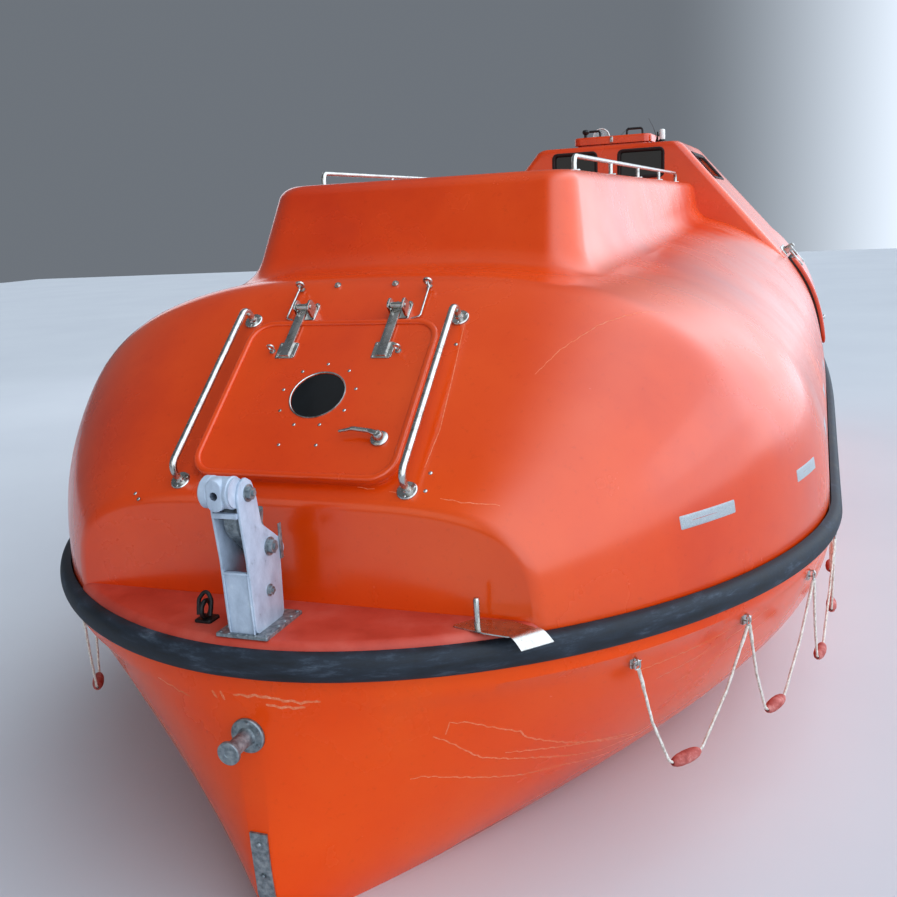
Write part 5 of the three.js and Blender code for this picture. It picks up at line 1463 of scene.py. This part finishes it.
lamp_at = Vector((*LAMP_PLACE, ROOF + GAP))
lamp_centre = lamp_at + Vector((0, -0.008, 0.130))
facing = standing(lamp_centre, (0, -1, 0))
dress(combine("searchlight_housing",
              turned("foot", [(0, 0), (0.045, 0), (0.045, 0.005), (0.036, 0.010), (0.015, 0.014),
                              (0.013, 0.020), (0.013, 0.066), (0, 0.066)],
                     Matrix.Translation(lamp_at), 32, black_steel),
              turned("bowl", [(0, -0.063), (0.020, -0.062), (0.048, -0.050), (0.060, -0.030),
                              (0.066, 0.005), (0.068, 0.040), (0.0715, 0.042), (0.0715, 0.060),
                              (0.066, 0.062), (0.062, 0.054), (0, 0.054)], facing, 48, white_plastic),
              turned("lens", [(0, 0.0545), (0.0615, 0.0545), (0.060, 0.058), (0, 0.0605)], facing,
                     40, lamp_glass),
              tube("yoke", bent([(-0.078, 0, 0), (-0.078, 0, -0.070), (0.078, 0, -0.070),
                                 (0.078, 0, 0)], 0.03), 0.006, 10,
                   Matrix.Translation(lamp_centre), black_steel)),
      "boat", "white_plastic", "searchlight")
beacon_at = Matrix.Translation((*BEACON_PLACE, ROOF + GAP))
dress(combine("position_beacon",
              turned("foot", [(0, 0), (0.030, 0), (0.030, 0.018), (0.026, 0.026), (0, 0.026)],
                     beacon_at, 32, black_steel),
              turned("dome", [(0, 0.0262), (0.022, 0.0262), (0.022, 0.094), (0.0195, 0.101),
                              (0.012, 0.105), (0, 0.1055)], beacon_at, 32, white_plastic),
              tube("post", [(POST_OUT, 0, 0.004), (POST_OUT, 0, 0.086)], 0.006, 12, beacon_at,
                   black_steel),
              tube("stay", [(POST_OUT, 0, 0.060), (POST_OUT / 2, 0, 0.060)], 0.004, 10, beacon_at,
                   black_steel),
              turned("post_foot", [(0, 0), (0.011, 0), (0.010, 0.006), (0, 0.006)],
                     beacon_at @ Matrix.Translation((POST_OUT, 0, 0)), 16, black_steel)),
      "boat", "white_plastic", "beacon")
whips = []
for x, y, lean in WHIPS:
    path = bent([(x, y, ROOF + 0.030), (x + lean, y, ROOF + 0.115),
                 (x + 3 * lean, y + 0.02, ROOF + 0.195)], 0.3, 8)
    whips += [turned("foot", [(0, 0), (0.014, 0), (0.012, 0.018), (0.006, 0.036), (0, 0.036)],
                     Matrix.Translation((x, y, ROOF)), 20, black_steel),
              tube("whip", path, 0.0026, 8, material=black_steel,
                   taper=np.linspace(1, 0.4, len(path)))]
dress(combine("whip_aerials", *whips), "boat", "black_steel")


# Lifelines
# White laid rope hangs in loops along both sides, under the fender, as handholds. Each loop
# is spliced to an eye on the hull and carries a rounded float.
ROPE_THICK, ROPE_HANG, EYE_HIGH = 0.011, 0.385, 0.795
FIRST_EYE, EYE_SPACING, EYES = -3.765, 0.532, 13
STRAND_LAY = 0.0105         # rope's length for one radian of its strands' twist
FLOAT_HALF = 0.075          # half of the rope's level run, in which the float sits
FLOAT_PROFILE = [(0.0065, -0.066), (0.011, -0.064), (0.017, -0.052), (0.0215, -0.030),
                 (0.023, 0.0), (0.0215, 0.030), (0.017, 0.052), (0.011, 0.064), (0.0065, 0.066)]

# Laid polyamide rope: off-white and fibrous, greyer and paler in small patches. Its yarns, about 1 mm
# thick, are drawn at 6 mm, so that they show.
rope = new_finish("laid_polyamide_rope", "#d9d5cb", 0.75, {"Sheen Weight": 0.3})
weather(rope, mottle(rope, 6.25, 4, 0.6, (1, 1, 0.5)),
        [(0.3, "#a79f92"), (0.5, "#d6d1c6"), (0.7, "#ece9e1")], relief=(0.0012, 0.6))

# Closed-cell foam float: matt red, bleached by the sun.
float_foam = new_finish("weathered_red_float", "#a8564f", 0.7)
weather(float_foam, mottle(float_foam, 35.71, 6, 0.7),
        [(0.3, "#8e3d38"), (0.5, "#ad5a52"), (0.72, "#cf9089")])
weather(float_foam, mottle(float_foam, 7.692, 4), relief=(0.0010, 0.5))

under_fender = np.array([p[:2] for p in waterline(level_at(EYE_HIGH), (400, 200, 300))])
under_fender = under_fender[:len(under_fender) // 2]
run = np.concatenate([[0], np.cumsum(np.linalg.norm(np.diff(under_fender, axis=0), axis=1))])
along_hull = np.interp(FIRST_EYE, under_fender[:, 1], run) + EYE_SPACING * np.arange(EYES)
eyes = list(zip(np.interp(along_hull, run, under_fender[:, 0]),
                np.interp(along_hull, run, under_fender[:, 1])))


def rope_path(start, stop):
    """Both arms of a loop and the level run through its float."""
    start, stop = Vector(start), Vector(stop)
    along = (stop - start).normalized()
    middle = (start + stop) / 2 - Vector((0, 0, ROPE_HANG)) - along * 0.045
    near, far = middle - along * FLOAT_HALF, middle + along * FLOAT_HALF
    sag = [Vector(start.lerp(near, 0.5)) - along * 0.012 - Vector((0, 0, 0.012)),
           Vector(stop.lerp(far, 0.5)) + along * 0.012 - Vector((0, 0, 0.012))]
    corners = [start, sag[0], near, far, sag[1], stop]
    path, dense = bent(corners, 0.045, 6), []
    for a, b in zip(path, path[1:]):
        steps = max(int((b - a).length / 0.007), 1)
        dense += [a.lerp(b, k / steps) for k in range(steps)]
    return dense + [path[-1]], middle, along


def laid_rope(name, path, radius):
    """Three strands twisted together; thicker at its ends, where it is spliced."""
    side, rings, travelled = None, [], 0.0
    total = sum((b - a).length for a, b in zip(path, path[1:]))
    for i, centre in enumerate(path):
        ahead, behind = path[min(i + 1, len(path) - 1)], path[max(i - 1, 0)]
        along = (ahead - behind).normalized()
        side = along.orthogonal() if side is None else side
        side = (side - along * side.dot(along)).normalized()
        over = along.cross(side)
        travelled += (centre - behind).length if i else 0
        near_end = min(travelled, total - travelled)
        thick = radius * (1.28 - 0.28 * min(max((near_end - 0.06) / 0.03, 0), 1))
        rings.append([])
        for t in np.linspace(0, 2 * math.pi, 12, endpoint=False):
            r = thick * (0.90 + 0.10 * math.cos(3 * t - travelled / STRAND_LAY))
            rings[-1].append(centre + side * (r * math.cos(t)) + over * (r * math.sin(t)))
    return new_piece(name, *skin(rings), rope, 80)


for where, side in SIDES:
    pad_eyes, pad_screws, hangers = [], [], []
    for x, y in eyes:
        gap = 0.01
        along = Vector((np.interp(y + gap, under_fender[:, 1], under_fender[:, 0])
                        - np.interp(y - gap, under_fender[:, 1], under_fender[:, 0]), 2 * gap, 0))
        out = Vector((along.y, -along.x, 0)).normalized()
        out.x *= side
        place = Vector((side * x, y, EYE_HIGH))
        flat = face_matrix(place, (0, 0, 1), out)
        loop = bent([(0, 0.012, 0.003), (0, 0.012, 0.026), (0, -0.012, 0.026),
                     (0, -0.012, 0.003)], 0.011)
        link = bent([(-0.010, 0.006, 0.021), (-0.011, -0.024, 0.021), (0.011, -0.024, 0.021),
                     (0.010, 0.006, 0.021)], 0.009, 5)
        pad_eyes += [slab("pad", rounded_rectangle(0.030, 0.058, 0.010), -0.004, 0.0035, flat,
                          0.001, stainless),
                     tube("loop", loop, 0.0035, 10, flat, stainless),
                     tube("shackle", link, 0.003, 10, flat, stainless),
                     tube("shackle_pin", crosswise(0, 0.014, 0.004, 0.021), 0.003, 10, flat,
                          stainless)]
        pad_screws += spots_on(flat, [(0, 0.022), (0, -0.022)], 0.0035)
        hangers.append(flat @ Vector((0, -0.026, 0.021)))
    dress(combine(f"lifeline_eyes_{where}", *pad_eyes), "boat", "stainless")
    dress(fasten(f"lifeline_eye_screws_{where}", domed_screw, pad_screws, 0.004), "boat", "stainless")
    for k, (start, stop) in enumerate(zip(hangers, hangers[1:])):
        inward = (stop - start).normalized() * 0.006
        path, middle, along = rope_path(start + inward, stop - inward)
        line = laid_rope(f"lifeline_{where}_{k + 1:02d}", path, ROPE_THICK / 2)
        buoy = turned(f"lifeline_float_{where}_{k + 1:02d}", FLOAT_PROFILE,
                      standing(middle, along), 24, float_foam, ringed=True)
        dress(buoy, "boat", "white_plastic")
        dress(line, "boat", "white_plastic")


# Reflective tapes
# Strips of silver retro-reflective tape are stuck round the cabin, a hand's breadth over
# the fender: thin sheet with a fine bead texture and slightly rounded corners.
TAPE_LONG, TAPE_HIGH, TAPE_CORNER, TAPE_THICK = 0.225, 0.044, 0.004, 0.0009
TAPE_PLACES = ((-3.520, 1.214), (-2.865, 1.210), (-2.05, 1.205), (-1.15, 1.205),
               (-0.25, 1.205), (0.65, 1.205), (3.15, 1.215))

# Silver tape: grey and half metallic, with glass beads drawn as bumps, changes of gloss and a fine
# lighter and darker speckle in its colour, which is partly the beads' grain and partly painted
# sparkle. They are far finer than the 4 mm at which they are drawn, so that they show.
reflective_tape = new_finish("silver_reflective_tape", "#a3a9ad", 0.42, {"Metallic": 0.25})
weather(reflective_tape, mottle(reflective_tape, 3.846, 3, 0.6),
        [(0.3, "#8f979c"), (0.5, "#a6adb1"), (0.7, "#babfc2")], gloss=(0.34, 0.55),
        relief=(0.0003, 0.4))

tape_steps = [(0.0, -0.0005), (0.0, 0.0006)]
tape_steps += [(s, TAPE_THICK) for s in (0.0004, 0.008, 0.015, 0.021)]
for where, side in SIDES:
    for k, (y, z) in enumerate(TAPE_PLACES):
        tape = side_moulding(f"tape_{where}_{k + 1}", side, lambda shrink: rounded_rectangle(
            TAPE_LONG - 2 * shrink, TAPE_HIGH - 2 * shrink, max(TAPE_CORNER - shrink, 0.0004),
            y, z, 3, 8), tape_steps, reflective_tape)
        dress(tape, "boat", "orange_grp")


# Scuffs
# Pale scratches, where the gelcoat is worn to its paler ground: long ones on the port bow
# from lying against a quay, and rubbed places under the fender and round the hatch.

# Worn gelcoat: matt and broken, from orange to the pale ground under it.
scuffed_gelcoat = new_finish("scuffed_pale_gelcoat", "#e9967a", 0.6)
weather(scuffed_gelcoat, mottle(scuffed_gelcoat, 11.11, 6, 0.75),
        [(0.3, "#dd5a26"), (0.48, "#e0764c"), (0.68, "#eaa183")], relief=(0.0004, 0.5))

HULL_MARKS = (
    ((0.545, -4.125, 0.660), (0.555, -4.120, 0.710), (0.610, -4.097, 0.694), (0.729, -3.948, 0.601),
     (0.745, -3.920, 0.560), (0.814, -3.779, 0.483), (0.905, -3.576, 0.390), (0.997, -3.330, 0.300),
     (1.060, -3.270, 0.320)),
    ((0.505, -4.135, 0.665), (0.551, -4.105, 0.623), (0.612, -4.009, 0.528), (0.680, -3.920, 0.480),
     (0.751, -3.806, 0.434), (0.889, -3.504, 0.313), (0.980, -3.330, 0.290)),
    ((0.430, -4.150, 0.500), (0.465, -4.115, 0.500), (0.547, -4.025, 0.457), (0.590, -3.980, 0.430),
     (0.685, -3.824, 0.369), (0.784, -3.670, 0.332), (0.900, -3.378, 0.237)),
    ((0.700, -3.970, 0.500), (0.760, -3.840, 0.480), (0.880, -3.600, 0.420), (0.960, -3.420, 0.360)),
    ((1.067, -3.699, 0.732), (1.235, -3.493, 0.746), (1.414, -3.226, 0.782)),
    ((1.120, -3.600, 0.640), (1.300, -3.370, 0.700), (1.440, -3.150, 0.760)),
    ((1.180, -3.480, 0.560), (1.330, -3.270, 0.620), (1.470, -3.050, 0.700)),
    ((-0.355, -4.291, 0.820), (-0.280, -4.315, 0.800), (-0.218, -4.333, 0.790)))
RUBBED = (
    ((-0.040, -4.355, 0.832), (0.060, -4.351, 0.838), (0.178, -4.339, 0.825),
     (0.238, -4.328, 0.830)),
    ((0.070, -4.352, 0.812), (0.130, -4.345, 0.806), (0.190, -4.336, 0.808)),
    ((-0.115, -4.345, 0.835), (-0.100, -4.348, 0.812)),
    ((-0.085, -4.350, 0.838), (-0.072, -4.352, 0.810)))
CABIN_MARKS = (
    ((0.715, -3.578, 1.677), (0.777, -3.481, 1.745), (0.886, -3.355, 1.812), (1.003, -3.244, 1.839),
     (1.073, -3.137, 1.827)),
    ((0.430, -3.424, 1.840), (0.446, -3.632, 1.668), (0.455, -3.792, 1.534), (0.442, -3.908, 1.438)),
    ((0.518, -3.985, 1.361), (0.597, -3.985, 1.352), (0.699, -3.965, 1.345)),
    ((0.350, -3.985, 1.378), (0.430, -3.988, 1.370)), ((0.240, -3.980, 1.388), (0.300, -3.984, 1.384)))


def mark(name, path, ground, width, depth):
    """A shallow bead pressed into the surface, so that only a narrow strip of it shows."""
    line = []
    path = [Vector(p) for p in path]
    for a, b in zip(path, path[1:]):
        steps = max(int((b - a).length / 0.012), 2)
        line += [a.lerp(b, k / steps) for k in range(steps)]
    line.append(path[-1])
    radius = (width ** 2 / 4 + depth ** 2) / (2 * depth)
    placed = []
    for k, point in enumerate(line):
        wander = Vector((0, 0, 0.004 * math.sin(k * 1.7 + len(line)) * math.sin(k * 0.31)))
        _, at, normal, _ = ground.closest_point_on_mesh(point + wander)
        share = min(k, len(line) - 1 - k) / max(len(line) / 5, 1)
        uneven = (0.55 + 0.45 * min(share, 1)) * (0.8 + 0.2 * math.sin(k * 2.3) * math.sin(k * 0.83))
        placed.append(at - normal * (radius - depth * uneven))
    return tube(name, placed, radius, 32, material=scuffed_gelcoat)


bpy.context.view_layer.update()
hull_marks = [mark("mark", path, hull, width, 0.0006) for paths, width in (
    (HULL_MARKS, 0.0065), (RUBBED, 0.011)) for path in paths]
dress(combine("hull_scuffs", *hull_marks), "boat", "orange_grp")
fore_panel = bpy.data.objects["cabin_fore_moulding"]
dress(combine("cabin_scuffs", *[mark("mark", path, fore_panel, 0.0035, 0.0003)
                                for path in CABIN_MARKS]), "boat", "orange_grp")


# Propeller, guard, rudder and engine
# A three-bladed bronze propeller turns inside a galvanised ring that keeps ropes and limbs
# off it. The engine stands closed in under the helm, painted green; only its bulk is shown.
SHAFT_Z, PROPELLER_Y, PROPELLER_REACH = -0.310, 3.760, 0.180
BLADES, BLADE_ROOT = 3, 0.028
CHORD, ROOT_THICK, TIP_SKEW, ADVANCE = 0.062, 0.009, 0.30, 0.048
STAYS = ((0, 0.010, -0.102, 0.080), (-0.150, 0.008, -0.172, 0.110),
         (0.150, 0.008, -0.172, 0.110))    # place, half width, low and high end

# Cast bronze: warm metal, browned by tarnish in patches.
bronze = new_finish("cast_propeller_bronze", "#a9803f", 0.34, {"Metallic": 1.0})
weather(bronze, mottle(bronze, 45.45, 6, 0.7),
        [(0.3, "#6f5a35"), (0.45, "#9a753c"), (0.7, "#b98f4c")], gloss=(0.26, 0.5))
weather(bronze, mottle(bronze, 11.11, 4), relief=(0.0005, 0.4))

# Engine enamel: a green gloss, darkened by oil.
engine_paint = new_finish("engine_enamel", "#4d6b58", 0.5)
weather(engine_paint, mottle(engine_paint, 111.1, 6, 0.7),
        [(0.3, "#33453a"), (0.5, "#4d6b58"), (0.7, "#5b7a66")], relief=(0.001, 0.3))
finished(nodes["engine_block"], engine_paint, 40)

shaft_seat = standing((0, PROPELLER_Y, SHAFT_Z), (0, 1, 0))
screw_parts = [turned("hub", [(0, -0.279), (0.020, -0.279), (0.020, -0.062), (0.036, -0.060),
                              (0.042, -0.050), (0.044, 0.0), (0.038, 0.048), (0.034, 0.052),
                              (0.030, 0.066), (0.018, 0.080), (0, 0.085)], shaft_seat, 40, bronze)]
for k in range(BLADES):
    rings = []
    for r in np.linspace(BLADE_ROOT, PROPELLER_REACH - 0.001, 14):
        share = (r - BLADE_ROOT) / (PROPELLER_REACH - 0.001 - BLADE_ROOT)
        fullness = math.sin(math.pi * (0.22 + 0.70 * share)) ** 0.8 * (1 - share ** 6)
        chord = CHORD * fullness + 0.004
        pitch = math.atan2(ADVANCE, r)
        thick = ROOT_THICK * (1 - 0.75 * share)
        skew = TIP_SKEW * share ** 2
        rings.append([])
        for t in np.linspace(0, 2 * math.pi, 20, endpoint=False):
            along, up = chord * math.cos(t), thick / 2 * math.sin(t) * (1 + 0.3 * math.cos(t))
            around = along * math.cos(pitch) - up * math.sin(pitch)
            ahead = along * math.sin(pitch) + up * math.cos(pitch)
            turn_by = skew + around / r
            rings[-1].append((r * math.sin(turn_by), ahead, r * math.cos(turn_by)))
    screw_parts.append(new_piece("blade", *skin(rings), bronze))
    screw_parts[-1].data.transform(Matrix.Translation((0, PROPELLER_Y, SHAFT_Z))
                                   @ Matrix.Rotation(k * 2 * math.pi / BLADES, 4, "Y"))
dress(combine("propeller_casting", *screw_parts), "propeller_shaft", "bronze", "propeller")
guard = [turned("ring", [(0.200, -0.068), (0.203, -0.070), (0.214, -0.070), (0.216, -0.067),
                         (0.216, 0.067), (0.214, 0.070), (0.203, 0.070), (0.200, 0.068)],
                shaft_seat, 72, galvanised, ringed=True)]
guard += [bar("stay", (x - half, PROPELLER_Y - 0.048, low), (x + half, PROPELLER_Y + 0.048, high),
              0.003, material=galvanised) for x, half, low, high in STAYS]
dress(combine("propeller_guard_ring", *guard), "boat", "galvanised", "propeller_guard")


# Sizes
# The box of the whole boat.
low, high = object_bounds()
